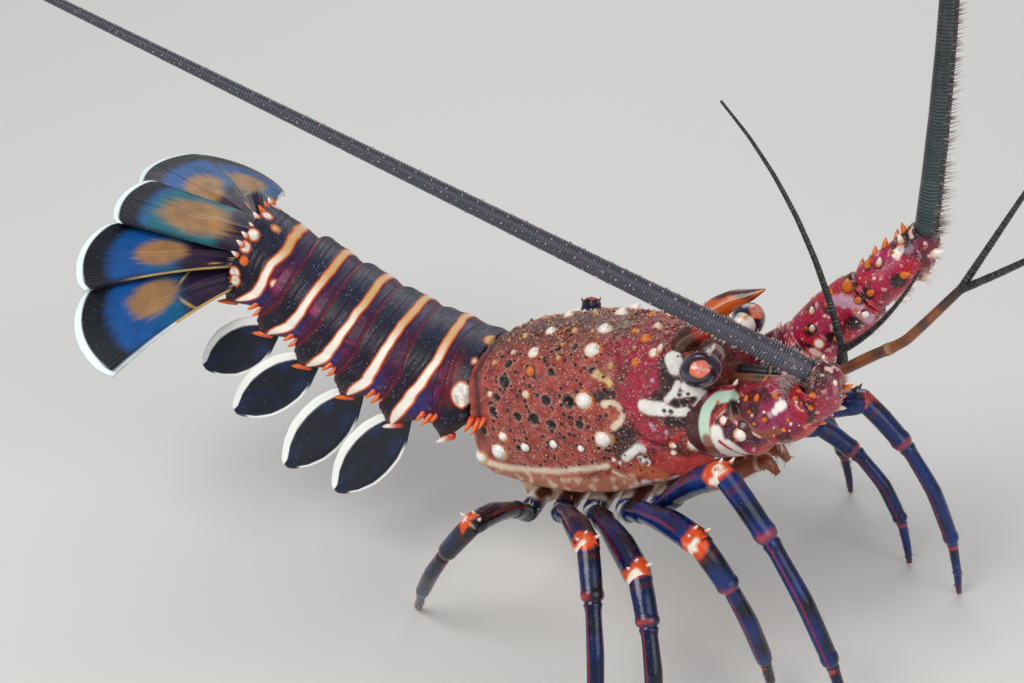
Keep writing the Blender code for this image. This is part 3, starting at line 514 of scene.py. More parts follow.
def carapaceFinish():
    f = Finish("carapaceShell", 0.4, coat=0.22, coatRoughness=0.2)
    pores = f.cells(0.0021, 0.9)
    hole = f.times(f.ramp(pores, (0.0, 1.0), (0.21, 1.0), (0.29, 0.0)), f.share)
    halo = f.times(f.ramp(pores, (0.28, 1.0), (0.48, 0.0)), f.share)
    bare = f.ramp(f.share, (0.0, 0.2), (0.3, 1.0))
    grains = f.dots(0.0009, 0.22, 0.36)
    some = f.ramp(f.noise(0.0028, 3.0, 0.7), (0.43, 0.0), (0.56, 1.0))
    flecks = f.times(f.times(grains, some), bare)
    dirt = f.times(f.ramp(f.noise(0.0013, 5.0, 0.75), (0.38, 1.0), (0.52, 0.0)), bare)
    f.tint(dirt, 0.55, 0.018, 0.006, 0.007)
    f.tint(halo, 0.30, 0.60, 0.22, 0.20)
    f.tint(flecks, 0.6, 0.80, 0.60, 0.46)
    f.tint(hole, 0.97, 0.005, 0.003, 0.005)
    height = f.sums("ADD", f.times(f.noise(0.0009, 5.0, 0.7), 0.7), f.times(halo, 0.3))
    height = f.sums("SUBTRACT", f.sums("ADD", height, f.times(flecks, 0.4)), hole)
    gloss = f.ramp(f.noise(0.0013, 3.0), (0.35, 0.32), (0.65, 0.6))
    return f.wear(height, 0.0004, gloss)


grown(carapacePlace, paintCarapace(carapaceMarks()), carapace["grid"], "carapaceSkin", carapaceFinish(),
      "carapace_shell", "carapace")
print("carapace made")


# spines and knobs, all grown from one small form
# sink is how deep the root sits, fine the corners round it, power the roundness and hook the lean of the tip
def thorn(mesh, matrix, root, way, radius, length, base, tip, sink=0.02, fine=7, power=0.8, hook=0.0,
          patch=None):
    root, way = Vector(root), Vector(way).normalized()
    side = way.cross(Vector((0.31, 0.17, 0.93))).normalized()
    over = side.cross(way)

    def place(u, v):
        size = radius * min(1.0, v * 8) * (1 - v) ** power
        centre = root + way * (-sink + (length + sink) * v) + over * hook * length * v * v
        return matrix @ (centre + (side * cos(2 * pi * u) + over * sin(2 * pi * u)) * size)

    def paint(_, v, __):
        return shaded(blend(base, tip, step(0.25, 0.75, v)), 0.0)
    grow(mesh, place, paint, fine, 5 if power > 0.6 else 7, patch=patch)


def knob(mesh, matrix, root, way, radius, height, base, tip):
    thorn(mesh, matrix, root, way, radius, height, base, tip, sink=radius * 0.5, fine=12, power=0.5)


def thornFinish():
    f = Finish("hornShell", 0.3, coat=0.4, coatRoughness=0.12)
    f.tint(f.clouds(0.0008, 0.4, 0.7), 0.25, 0.35, 0.12, 0.04)
    return f.wear(f.noise(0.0006, 4.0), 0.0001)


hornShell = thornFinish()


def bristle(mesh, matrix, path, part, turn, way, width, length, base, tip, column, hook=0.0):
    # one hair on a tube, its patch in this column of the unwrap of all the tubes
    centre, forward, outward, radius = path.aside(part, turn)
    patch = ((column + (turn / (2 * pi)) % 1.0) / 16, part)
    thorn(mesh, matrix, centre + outward * radius * 0.9, outward + forward * way, width, length, base, tip,
          sink=0.004, fine=4, power=0.9, hook=hook, patch=patch)


# the spines and knobs of the carapace
carapaceSpines = {
    "seed": 7,
    "stations": (0.13, 0.25, 0.38, 0.51, 0.67, 0.80),
    # each row's degrees, radius and length, then the spines at the front: x, degrees, radius, length
    "rows": ((17.0, 0.018, 0.036), (34.0, 0.018, 0.028), (52.0, 0.018, 0.020), (70.0, 0.016, 0.018)),
    "margin": ((0.935, 11.0, 0.016, 0.045), (0.80, 40.0, 0.018, 0.05), (0.80, 80.0, 0.018, 0.05)),
    "small": 600,
    "root": rgb(96, 30, 26),
    "tip": rgb(238, 190, 150),
}


def makeCarapaceSpines():
    c = carapaceSpines
    chance = random.Random(c["seed"])
    mesh = bmesh.new()
    white, orange, tan, red = carapace["white"], carapace["orange"], carapace["tan"], c["root"]
    for side in (-1, 1):
        for row, (angle, radius, length) in enumerate(c["rows"]):
            for station in c["stations"]:
                x = station + 0.03 * (row % 2) + chance.uniform(-0.012, 0.012)
                if x > 0.78 and angle > 30:
                    continue
                size = chance.uniform(0.8, 1.15)
                spread = side * (angle + chance.uniform(-3, 3))
                tip = chance.choice((tan, orange, white, tan, red) if angle < 40 else (red, tan, red))
                scale = size * (0.85 if angle < 40 else 0.6)
                way = outOf(x, spread) + Vector((0.75, 0, 0.1))
                thorn(mesh, bodyFrame, carapacePoint(x, spread), way, radius * scale, length * scale * 0.55,
                      red, tip, sink=0.01, fine=8, power=0.7, hook=0.12)
        for x, angle, radius, length in c["margin"]:
            out = outOf(x, side * angle)
            thorn(mesh, bodyFrame, carapacePoint(x, side * angle), out + Vector((0.8, 0, 0.1)), radius,
                  length, orange, white, sink=0.01, fine=9, power=0.7, hook=0.12)
        for x, angle, size, cap, ring in carapace["knobs"]:
            out = outOf(max(0.03, x), side * angle)
            place = carapacePoint(x, side * angle)
            top = carapace[cap]
            low = blend(carapace[ring], top, 0.25)
            knob(mesh, bodyFrame, place, out + Vector((0.2, 0, 0.0)), size * 1.22, size * 0.6, low, top)
            if angle < 60:
                knob(mesh, bodyFrame, place, out + Vector((0.7, 0, 0.05)), size * 0.7, size * 0.85, top, top)
        for _ in range(c["small"]):  # short grains between them
            x, angle = chance.uniform(0.06, 0.93), chance.uniform(2, 82 if chance.random() < 0.4 else 45)
            size = chance.uniform(0.003, 0.007)
            shade = blend(red, c["tip"], chance.random() ** 0.8)
            if x > 0.74 and angle > 45:
                continue
            out = outOf(x, side * angle) + Vector((0.5, 0, 0))
            thorn(mesh, bodyFrame, carapacePoint(x, side * angle), out, size, size * 1.4, red, shade,
                  sink=0.004, fine=6, power=0.6)
    finished(mesh, "carapaceSpines", hornShell, "horn_shell")


makeCarapaceSpines()
print("carapace spines made")


# abdomen
abdomen = {
    "length": (0.172, 0.23, 0.225, 0.22, 0.22, 0.235),
    "halfWidth": (0.25, 0.262, 0.258, 0.25, 0.238, 0.215),
    "yaw": (3.5, 3.5, 1.5, -1.0, -4.0, -6.5),
    "pitch": (11.5, 9.0, 7.0, 6.5, 6.5, 5.5),
    "rise": 0.85,
    "floor": -0.075,
    "pleuron": (0.10, 0.125, 0.115, 0.11, 0.10, 0.08),
    "start": (-0.01, 0.0, -0.02),
    # radius and length of the spine at the side plate's tip, and place, radius and length of the teeth
    "sideSpine": (0.020, 0.075),
    "teeth": ((0.02, -0.035, 0.017, 0.062), (-0.012, -0.030, 0.017, 0.055), (0.045, -0.03, 0.014, 0.042)),
    "seed": 5,
    "rearSpines": (-0.19, -0.155, -0.12, -0.07, -0.02, 0.03, 0.08, 0.13, 0.17),
    "frontSweep": 0.06,
    "fanYaw": -17.0,
    "fanPitch": -10.0,
    "edges": (0.64, 0.78, 0.86),  # shares of the way round: the side plate's start, tip and inner edge
    "cap": 0.03,  # share of the rows that closes each end
    "grid": (280, 90),
    "dark": rgb(22, 16, 34),
    "velvet": rgb(66, 16, 54),
    "magenta": rgb(150, 14, 84),
    "blue": rgb(36, 46, 116),
    "maroon": rgb(140, 28, 24),
    "cream": rgb(253, 244, 228),
    "tan": rgb(212, 172, 116),
    "orange": rgb(238, 106, 20),
    "plum": rgb(46, 20, 52),
    "slate": rgb(44, 48, 74),
    "haze": rgb(56, 50, 84),
    "red": rgb(130, 22, 40),
    "edge": rgb(74, 40, 34),
    "under": (rgb(120, 70, 60), rgb(60, 30, 40)),
    "spine": rgb(220, 66, 12),
    "white": rgb(252, 244, 230),
    # where the pale bands and the dark red lines run: a place along the ring for each way round,
    # from -1.2 under the left side over 0 on the back to 1.2 under the right side
    "downs": (-1.2, -0.9, -0.5, -0.25, 0.0, 0.25, 0.5, 0.75, 1.0, 1.12, 1.2),
    "bands": (None,
              (0.58, 0.42, 0.50, 0.38, 0.20, 0.13, 0.11, 0.24, 0.44, 0.54, 0.60),
              (0.58, 0.42, 0.52, 0.40, 0.24, 0.17, 0.16, 0.21, 0.32, 0.48, 0.58),
              (0.58, 0.40, 0.48, 0.41, 0.26, 0.15, 0.13, 0.18, 0.28, 0.42, 0.55),
              (0.55, 0.38, 0.42, 0.40, 0.29, 0.21, 0.19, 0.19, 0.29, 0.48, 0.56),
              (0.54, 0.30, 0.36, 0.33, 0.30, 0.22, 0.30, 0.25, 0.30, 0.54, 0.60)),
    "seams": (0.0, -0.18, -0.05, -0.01, -0.12, -0.22, -0.28, -0.30, -0.16, 0.02, 0.04),
    "bandEnd": (0.0, 1.19, 1.15, 1.15, 1.14, 1.09),
    "bandHalf": 0.085,
    # what else shows on the first and last rings: ring, place along, way round, radius, colour
    "spots": (
        (0, 0.14, 0.78, 0.056, "cream"), (0, 0.03, 0.02, 0.03, "tan"), (0, 0.05, 0.37, 0.014, "cream"),
        (5, 0.02, 0.69, 0.024, "cream"), (5, 0.88, 0.31, 0.028, "cream"),
        (5, 0.9, 0.5, 0.025, "cream"), (5, 0.8, 0.66, 0.018, "orange"),
        (5, 0.88, 0.88, 0.028, "cream"), (5, 0.8, 0.97, 0.026, "cream"), (5, 0.62, 0.05, 0.018, "tan"),
        (5, 0.88, -0.05, 0.022, "cream"), (5, 0.9, -0.4, 0.02, "cream"),
    ),
}


def bend(yaw, pitch):
    return Matrix.Rotation(radians(-yaw), 4, "Z") @ Matrix.Rotation(radians(pitch), 4, "Y")


def abdomenJoints():
    a = abdomen
    turn, place = Matrix.Identity(4), Vector(a["start"])
    joints = [Matrix.Translation(place)]
    for i in range(6):
        if i > 0:
            joints.append(Matrix.Translation(place) @ turn @ bend(a["yaw"][i] / 2, a["pitch"][i] / 2))
        turn = turn @ bend(a["yaw"][i], a["pitch"][i])
        place = place + turn @ Vector((-a["length"][i], 0.0, 0.0))
    joints.append(Matrix.Translation(place) @ turn @ bend(a["fanYaw"] / 2, a["fanPitch"] / 2))
    return joints, Matrix.Translation(place) @ turn @ bend(a["fanYaw"], a["fanPitch"])


joints, fanFrame = abdomenJoints()


def plateDepth(number, part):
    return 0.04 + abdomen["pleuron"][number] * max(0.0, 1 - abs(part - 0.66) / 0.62)


def ringSpan(number, u, part):  # the way round, as in the table of bands
    start, tip, _ = abdomen["edges"]
    span = abs(2 * u - 1)
    side = 1 if u < 0.5 else -1
    if span < start:
        return side * span / start
    return side * (1 + 1.47 * plateDepth(number, part) * (span - start) / (tip - start))


def ringLines(number, down):  # the pale band and the two red lines: this ring's and the next one's
    a = abdomen
    band = along(a["downs"], a["bands"][number], down) if number > 0 else -1.0
    seam = along(a["downs"], a["seams"], down)
    return band, seam if number > 0 else -1.0, 1 + seam if number < 5 else 2.0


def abdomenPlace(number):
    a = abdomen
    half = a["halfWidth"][number]
    start, low, back, cap = *a["edges"], a["cap"]
    frames = {}

    def place(u, v):
        part = inside(v, cap)
        if part not in frames:
            frames[part] = bodyFrame @ between(joints[number], joints[number + 1], 0.003 + 0.994 * part)
        sweep = a["frontSweep"] * (1 - part) ** 2 if number == 0 else 0.0
        band, _, nextSeam = ringLines(number, ringSpan(number, u, part))
        swell = 0.95 + 0.05 * min(1.0, part / 0.5)
        swell += 0.014 * step(band - 0.13, band - 0.06, part) - 0.014 * step(band + 0.09, band + 0.16, part)
        swell -= 0.017 * bump(nextSeam + 0.035, 0.045, part) - 0.008 * bump(nextSeam - 0.03, 0.04, part)
        swell -= 0.009 * bump(band + 0.28, 0.06, part) + 0.005 * bump(band + 0.40, 0.05, part)
        depth = plateDepth(number, part)
        edge = half * swell
        side = 1 if u > 0.5 else -1
        span = abs(2 * u - 1)
        if span < start:
            angle = pi / 2 * span / start
            point = Vector((-sweep * (1 - cos(angle)), edge * sin(angle), edge * a["rise"] * cos(angle)))
        else:
            tip = Vector((-sweep - 0.3 * depth * sin(pi * part), edge, -depth))
            inner = Vector(((tip.x - sweep) / 2, half * 0.84, a["floor"] * 0.8))
            top = Vector((-sweep, edge, 0.0))
            if span < low:
                share = (span - start) / (low - start)
                point = top.lerp(tip, share) + Vector((0.0, 0.012 * sin(pi * share), 0.0))
            elif span < back:
                point = tip.lerp(inner, (span - low) / (back - low))
            else:
                point = inner.lerp(Vector((-sweep, 0.0, a["floor"])), (span - back) / (1 - back))
        point.y *= side
        if v < cap or v > 1 - cap:
            close = 1 - v / cap if v < cap else (v - (1 - cap)) / cap
            point = point.lerp(Vector((0.0, 0.0, 0.03)), close)
        return frames[part] @ point
    return place


def paintAbdomen(number):
    a = abdomen

    def paint(u, v, place):
        part = inside(v, a["cap"])
        span = abs(2 * u - 1)
        down = ringSpan(number, u, part)
        around = abs(down)
        point = place * 60
        wave = 0.02 * rough((u * 9, number, 0), 0.4)
        band, seam, nextSeam = ringLines(number, down)
        colour = blend(a["dark"], a["plum"], 0.8 * step(-0.3, 0.7, rough(point, 0.4, number)))
        colour = blend(colour, a["slate"], 0.6 * (1 - step(0.2, 0.55, around)))
        velvet = 1.0 if part > nextSeam or (number > 0 and part < band) else 0.0
        if velvet:
            low, high = (nextSeam, nextSeam + 0.45) if part > nextSeam else (seam, band)
            share = (part - low) / max(0.1, high - low)
            colour = a["velvet"]
            flame = step(-0.1, 0.6, rough((u * 26, number, share * 0.6), 0.6, 4))
            flame *= bump(0.62, 0.42, around) * step(0.1, 0.35, share)
            colour = blend(colour, a["magenta"], 0.85 * flame)
            colour = blend(colour, a["blue"], 0.75 * bump(0.98, 0.3, around) * step(0.25, 0.6, share))
            colour = blend(colour, a["haze"], 0.6 * (1 - step(0.15, 0.45, around)))
        line = max(bump(nextSeam + wave * 0.4, 0.030, part), bump(seam + wave * 0.4, 0.030, part))
        line = max(line, 0.6 * bump(nextSeam - 0.055 + wave * 0.4, 0.016, part))
        colour = blend(colour, a["maroon"], 0.95 * line)
        pale = 0.0
        if number > 0 and span < 0.81:
            fromEnd = a["bandEnd"][number] - around
            half = a["bandHalf"] * (0.85 + 0.35 * step(0.5, 1.1, around))
            if fromEnd < 0.09:
                half *= sqrt(max(0.0, fromEnd + 0.02) / 0.11)
            away = abs(part - band - wave)
            rim = 1 - step(half + 0.008, half + 0.034, away)
            pale = 1 - step(half - 0.022, half - 0.002, away)
            colour = blend(colour, a["orange"], rim if half > 0.02 else 0.0)
            tint = blend(a["tan"], a["cream"], step(0.15, 0.6, around))
            colour = blend(colour, tint, pale)
        if number == 0:
            red = bump(0.55, 0.4, part) * step(0.2, 0.5, around) * (1 - step(0.9, 1.0, around))
            colour = blend(colour, a["red"], 0.6 * red)
        for ring, where, way, size, tint in a["spots"]:
            if ring == number and (down > -0.1 or way < 0.1):
                away = sqrt(((part - where) * a["length"][number]) ** 2 + ((down - way) * 0.38) ** 2)
                colour = blend(colour, a["orange"], 0.9 * (1 - step(size, size + 0.010, away)))
                colour = blend(colour, a[tint], 1 - step(size - 0.008, size, away))
        if around > 1.0:
            edge = step(0.70, 0.78, span) * (1 - pale)
            colour = blend(colour, a["edge"], 0.75 * edge)
        if span > 0.79:
            colour = blend(*a["under"], 0.5 + 0.5 * rough(point, 0.6))
        return shaded(colour, 1 - pale - (0.7 * velvet if part < nextSeam else 0.4 * velvet))
    return paint


def abdomenFinish():
    f = Finish("abdomenShell", 0.45, coat=0.12, coatRoughness=0.25, specular=0.3)
    dots = f.times(f.times(f.dots(0.0009, 0.10, 0.21), f.clouds(0.003, 0.40, 0.55)), f.share)
    streaks = f.ramp(f.noise(0.0018, 4.0, 0.65), (0.35, 1.0), (0.6, 0.0))
    f.tint(f.times(streaks, f.share), 0.45, 0.005, 0.004, 0.010)
    f.tint(dots, 0.7, 0.34, 0.44, 0.62)
    gloss = f.ramp(f.noise(0.0018, 3.0), (0.35, 0.38), (0.7, 0.58))
    return f.wear(f.noise(0.0009, 4.0, 0.6), 0.00012, gloss)


def makeAbdomen():
    a = abdomen
    shell = abdomenFinish()
    for number in range(6):
        grown(abdomenPlace(number), paintAbdomen(number), a["grid"], f"abdomenRing{number + 1}", shell,
              "abdomen_shell", f"abdomen_{number + 1}")
    mesh = bmesh.new()
    orange, deep, white = a["orange"], a["spine"], a["white"]
    for number in range(6):
        for side in (-1, 1):
            y = side * a["halfWidth"][number] * 0.96
            place = between(joints[number], joints[number + 1], 0.62)
            root = place @ Vector((-0.01, y, -0.03 - 0.85 * a["pleuron"][number]))
            way = place.to_3x3() @ Vector((-0.85, side * 0.4, -0.45))
            tip = white if number < 2 else orange
            thorn(mesh, bodyFrame, root, way, *a["sideSpine"], deep, tip, fine=10, power=0.6, hook=0.1)
            place = between(joints[number], joints[number + 1], 0.10)
            way = place.to_3x3() @ Vector((-0.3, side * 0.75, -0.6))
            for back, low, size, length in a["teeth"]:
                root = place @ Vector((back, y, low))
                thorn(mesh, bodyFrame, root, way, size, length, deep, orange, fine=10, power=0.55, hook=0.1)
    place = joints[6]
    chance = random.Random(a["seed"])
    for y in a["rearSpines"]:
        root = place @ Vector((0.004, y, 0.175 * sqrt(1 - (y / 0.23) ** 2)))
        way = place.to_3x3() @ Vector((-0.8, y * 2, 0.5))
        size = chance.uniform(0.8, 1.2)
        tip = white if chance.random() > 0.4 else orange
        thorn(mesh, bodyFrame, root, way, 0.014 * size, 0.028 * size, orange, tip, sink=0.015, fine=9,
              power=0.65, hook=0.1)
    finished(mesh, "abdomenSpines", hornShell, "horn_shell")


makeAbdomen()
print("abdomen made")


# tail fan
fan = {
    # root, angles of the two edges, lengths at them and bulge between, droop, width at the root
    "plates": {
        "telson": ((0.04, 0.0, 0.055), (-15.0, 18.0), (0.59, 0.54, 0.03), 0.0, 0.24),
        "inner_uropod_right": ((0.0, -0.105, 0.015), (0.0, -31.0), (0.55, 0.65, 0.045), 0.2, -0.10),
        "outer_uropod_right": ((0.02, -0.15, -0.025), (-24.0, -60.0), (0.62, 0.69, 0.055), 0.2, -0.15),
        "inner_uropod_left": ((0.0, 0.105, 0.015), (6.0, 56.0), (0.52, 0.68, 0.03), 0.2, 0.10),
        "outer_uropod_left": ((0.02, 0.15, -0.025), (48.0, 90.0), (0.70, 0.50, 0.03), 0.2, 0.13),
    },
    "thickness": 0.016,
    "ribs": 27,
    "relief": 0.0018,
    "grid": (216, 104),
    # colour of the middle: its place across and along, and half its width both ways
    "patches": {
        "telson": (0.5, 0.46, 0.44, 0.30),
        "inner": (0.5, 0.50, 0.38, 0.19),
        "outer": (0.42, 0.55, 0.36, 0.17),
    },
    "rim": rgb(236, 250, 250),
    "margin": rgb(8, 8, 22),
    "blue": rgb(0, 84, 158),
    "teal": rgb(8, 112, 126),
    "tan": rgb(180, 132, 78),
    "base": rgb(34, 22, 44),
    "plum": rgb(74, 20, 66),
    # colour of the painted shade in the grooves between the ribs
    "grooveShade": rgb(12, 20, 52),
    "streak": rgb(216, 150, 30),
    "root": rgb(240, 220, 190),
    "edge": rgb(230, 190, 110),
}


def fanPlace(root, angles, lengths, drop, rootWidth):
    matrix = bodyFrame @ fanFrame

    def place(u, v):
        side = 1 if u < 0.5 else -1
        across = 2 * u if u < 0.5 else 2 - 2 * u
        angle = radians(angles[0] + (angles[1] - angles[0]) * across)
        edge = abs(2 * across - 1)
        bulge = 1 - edge * edge
        length = lengths[0] + (lengths[1] - lengths[0]) * across + lengths[2] * bulge - 0.02 * edge ** 10
        reach = length * v
        startY = rootWidth * (across - 0.5) * (1 - v)
        x = root[0] - reach * cos(angle)
        y = root[1] + startY + reach * sin(angle)
        z = root[2] - drop * abs(sin(angle)) * v * v
        thick = fan["thickness"] * (1.6 - 0.9 * v) * (1 - 0.6 * edge ** 6)
        rib = fan["relief"] * cos(2 * pi * across * fan["ribs"])
        thick += rib * step(0.28, 0.4, v) * (1 - step(0.94, 1, v))
        thick *= min(1.0, v * 40) * sqrt(max(0.0, min(1.0, (1 - v) * 30)))
        keel = bump(0.5, 0.14, across) * (1 - step(0.3, 0.55, v)) + 0.6 * bump(0.5, 0.04, across) * (1 - v)
        if edge > 0.995:
            thick *= 0.1
        return matrix @ Vector((x, y, z + side * thick / 2 + 0.014 * keel * (1 if side > 0 else 0.6)))
    return place


def paintFan(kind):
    c = fan

    def paint(u, v, _):
        across = 2 * u if u < 0.5 else 2 - 2 * u
        middle = abs(2 * across - 1)
        grain = rough((across * 9, v * 3, 1), 0.5)
        fine = cos(2 * pi * across * c["ribs"])
        colour = blend(c["base"], c["plum"], 0.6 * step(-0.2, 0.6, grain))
        start = 0.22 if kind == "telson" else 0.34
        colour = blend(colour, c["teal"] if kind == "telson" else blend(c["teal"], c["blue"], 0.5),
                       step(start, start + 0.12, v + 0.04 * grain))
        blue = step(0.45, 0.66, v) if kind != "telson" else step(0.7, 0.84, v)
        colour = blend(colour, c["blue"], 0.9 * blue)
        x, y, halfX, halfY = c["patches"][kind]
        away = sqrt(((across - x) / halfX) ** 2 + ((v - y) / halfY) ** 2)
        patch = 1 - step(0.6, 1.05, away + 0.16 * grain + 0.05 * fine)
        colour = blend(colour, c["tan"], 0.95 * patch)
        # painted shade: darker blue in the grooves between the ribs, stronger on the tan patch
        grooveShade = step(0.1, 1, -fine) * step(0.3, 0.4, v)
        colour = blend(colour, c["grooveShade"], (0.25 + 0.25 * patch) * grooveShade)
        colour = blend(colour, c["margin"], step(0.77, 0.86, v + 0.01 * grain))
        side = 0.5 * (1 - step(0.45, 0.7, v))
        colour = blend(colour, c["margin"], 0.85 * step(0.78, 0.99, middle) * (1 - side))
        joint = bump(0.34 + 0.08 * (1 - middle), 0.016, v) * step(0.1, 0.5, middle)
        if kind == "outer":
            colour = blend(colour, c["edge"], 0.75 * joint)
            line = step(0.955, 0.985, across)
            colour = blend(colour, c["rim"] if v > 0.5 else c["edge"], line * step(0.04, 0.1, v))
        elif kind == "inner":
            colour = blend(colour, c["edge"], 0.8 * step(0.965, 0.99, across) * (1 - step(0.6, 0.8, v)))
            colour = blend(colour, c["streak"], bump(0.86, 0.05, across) * bump(0.16, 0.06, v))
        rim = step(0.967, 0.976, v + 0.014 * (1 - middle ** 4))
        colour = blend(colour, c["rim"], rim)
        root = 1 - step(0.05, 0.10, v)
        root *= step(0.0, 0.4, rough((across * 10, 0, 4), 0.5))
        colour = blend(colour, c["root"], 0.8 * root)
        return shaded(colour, 1 - rim)
    return paint


def fanFinish():
    f = Finish("fanShell", 0.42, coat=0.12, coatRoughness=0.2, specular=0.3)
    f.tint(f.clouds(0.005, 0.35, 0.7), 0.35, 0.004, 0.012, 0.04)
    f.colour = f.mix(f.share, f.tone.outputs["Color"], f.colour)
    f.tint(f.times(f.dots(0.0018, 0.05, 0.12), f.share), 0.3, 0.3, 0.42, 0.5)
    gloss = f.ramp(f.noise(0.002, 3.0), (0.35, 0.34), (0.7, 0.52))
    return f.wear(f.noise(0.0007, 3.0, 0.6), 0.00008, gloss)


def makeFan():
    shell = fanFinish()
    for node, sizes in fan["plates"].items():
        kind = node.split("_")[0]
        grown(fanPlace(*sizes), paintFan(kind), fan["grid"], "tailFan_" + node, shell, "fan_shell", node)


makeFan()
print("tail fan made")


# swimmerets under the abdomen
swimmerets = {
    "length": (0.51, 0.52, 0.47, 0.40),
    "way": ((-0.61, -0.27, -0.74), (-0.63, -0.29, -0.72), (-0.77, -0.32, -0.55), (-0.81, -0.33, -0.47)),
    "halfWidth": 0.108,
    "thickness": 0.014,
    # width along the blade: parts of its length, and shares of the half width there
    "outline": ((-0.1, 0.06, 0.14, 0.26, 0.4, 0.55, 0.7, 0.84, 0.94, 1.0),
                (0.2, 0.24, 0.45, 0.76, 0.95, 1.0, 0.93, 0.70, 0.40, 0.08)),
    "rimWidth": (0.034, 0.010),  # at the rear and at the front edge
    "root": -0.1,  # where a blade starts, as a part of its length
    "round": 0.93,  # share of the rows where its tip starts to round off
    "grid": (104, 84),
    "blade": rgb(8, 14, 34),
    "sheen": rgb(8, 44, 84),
    "rim": rgb(253, 253, 248),
}


def makeSwimmerets():
    c = swimmerets
    f = Finish("swimmeretShell", 0.35, coat=0.2, coatRoughness=0.15)
    f.tint(f.times(f.dots(0.0016, 0.05, 0.12), f.share), 0.4, 0.25, 0.4, 0.55)
    shell = f.wear(f.noise(0.0009, 3.0), 0.00008)
    for index in range(4):
        number = index + 1
        middle = between(joints[number], joints[number + 1], 0.6)
        for side, name in sides:
            way = Vector(c["way"][index])
            way.y *= -side
            way.normalize()
            face = Vector((0.35, side * 0.8, 0.45))
            across = way.cross(face).normalized()
            face = across.cross(way).normalized()
            start = Vector((0.0, side * abdomen["halfWidth"][number] * 0.7, abdomen["floor"] - 0.015))
            start = toLevel @ (middle @ start)
            length = c["length"][index]

            def place(u, v, start=start, way=way, across=across, face=face, length=length):
                part = c["root"] + (1 - c["root"]) * v
                half = c["halfWidth"] * along(*c["outline"], part)
                if v > c["round"]:
                    last = c["root"] + (1 - c["root"]) * c["round"]
                    half = c["halfWidth"] * along(*c["outline"], last) * sqrt((1 - v) / (1 - c["round"]))
                half *= min(1.0, v * 20)
                thick = c["thickness"] * (1.0 + 0.6 * (1 - step(0.1, 0.3, v)))
                swing = 2 * pi * u
                rim = 1 + 0.5 * bump(0.9, 0.16, abs(cos(swing)))
                over = sin(swing) * thick * 0.5 * min(1.0, half / 0.02)
                over *= rim if abs(sin(swing)) < 0.9 else 1.0
                cup = 0.006 * (1 - cos(swing) ** 2) * min(1.0, half / 0.06)
                point = start + way * length * part + across * half * cos(swing)
                return levelFrame @ (point + face * (over - cup))

            def paint(u, v, _, side=side):
                swing = cos(2 * pi * u) * side
                wet = rough((u * 5, v * 4, 2), 0.6)
                colour = blend(c["blade"], c["sheen"], 0.6 * step(0.0, 0.8, wet + 0.3 * (1 - v)))
                half = c["halfWidth"] * max(0.25, along(*c["outline"], c["root"] + (1 - c["root"]) * v))
                thick, thin = (max(0.2, 1 - width / half) for width in c["rimWidth"])
                thickSide = step(thick - 0.03, thick + 0.03, -swing) * step(0.08, 0.14, v)
                thinSide = step(thin - 0.02, thin + 0.03, swing)
                thinSide *= step(0.3, 0.4, v) * (1 - step(0.9, 0.94, v))
                rim = max(thickSide, thinSide)
                return shaded(blend(colour, c["rim"], rim), 1 - rim)
            grown(place, paint, c["grid"], f"swimmeretBlade{number + 1}_{name}", shell, "swimmeret_shell",
                  f"swimmeret_{number + 1}_{name}")


makeSwimmerets()
print("swimmerets made")


# a tube along points, for legs, feelers and horns
class Path:
    def __init__(self, points, radii, guide=(0.0, 0.0, 1.0), flat=1.0):
        self.points = [Vector(point) for point in points]
        self.radii = radii
        self.flat = flat
        self.guide = Vector(guide)
        self.reach = [0.0]
        for first, second in zip(self.points, self.points[1:]):
            self.reach.append(self.reach[-1] + (second - first).length)
        self.whole = self.reach[-1]
        self.known = {}

    def middle(self, where):  # a point on the centre line, by its distance from the root
        return [along(self.reach, [point[i] for point in self.points], where) for i in range(3)]

    def at(self, part):  # centre, direction, the two sides and the radius
        if part not in self.known:
            where = part * self.whole
            before = self.middle(max(0.0, where - 0.01 * self.whole))
            after = self.middle(min(self.whole, where + 0.01 * self.whole))
            way = Vector([second - first for first, second in zip(before, after)]).normalized()
            across = way.cross(self.guide).normalized()
            radius = along(self.reach, self.radii, where)
            self.known[part] = (Vector(self.middle(where)), way, across, across.cross(way), radius)
        return self.known[part]

    def aside(self, part, turn):  # centre, direction, the way out at this turn and the radius
        centre, way, across, over, radius = self.at(part)
        return centre, way, across * cos(turn) + over * sin(turn), radius

    def skin(self, part, angle):  # a point on the surface, the angle in degrees
        centre, _, across, over, radius = self.at(part)
        turn = radians(angle)
        return centre + (across * cos(turn) * self.flat + over * sin(turn)) * radius

    def place(self, matrix, shape=None):
        # shape(u, part) gives how far the surface stands out, in radii
        cap = 0.02  # share of the rows that round off each end

        def put(u, v):
            part = inside(v, cap)
            centre, _, across, over, radius = self.at(part)
            if shape:
                radius *= shape(u, part)
            if v < cap:
                radius *= sqrt(max(0.0, 1 - (1 - v / cap) ** 2))
            if v > 1 - cap:
                radius *= sqrt(max(0.0, 1 - ((v - (1 - cap)) / cap) ** 2))
            wide = across * cos(2 * pi * u) * radius * self.flat
            return matrix @ (centre + wide + over * sin(2 * pi * u) * radius)
        return put


def bowed(start, end, bow, parts):
    start, end, bow = Vector(start), Vector(end), Vector(bow)
    return [start.lerp(end, part) + bow * 4 * part * (1 - part) for part in parts]


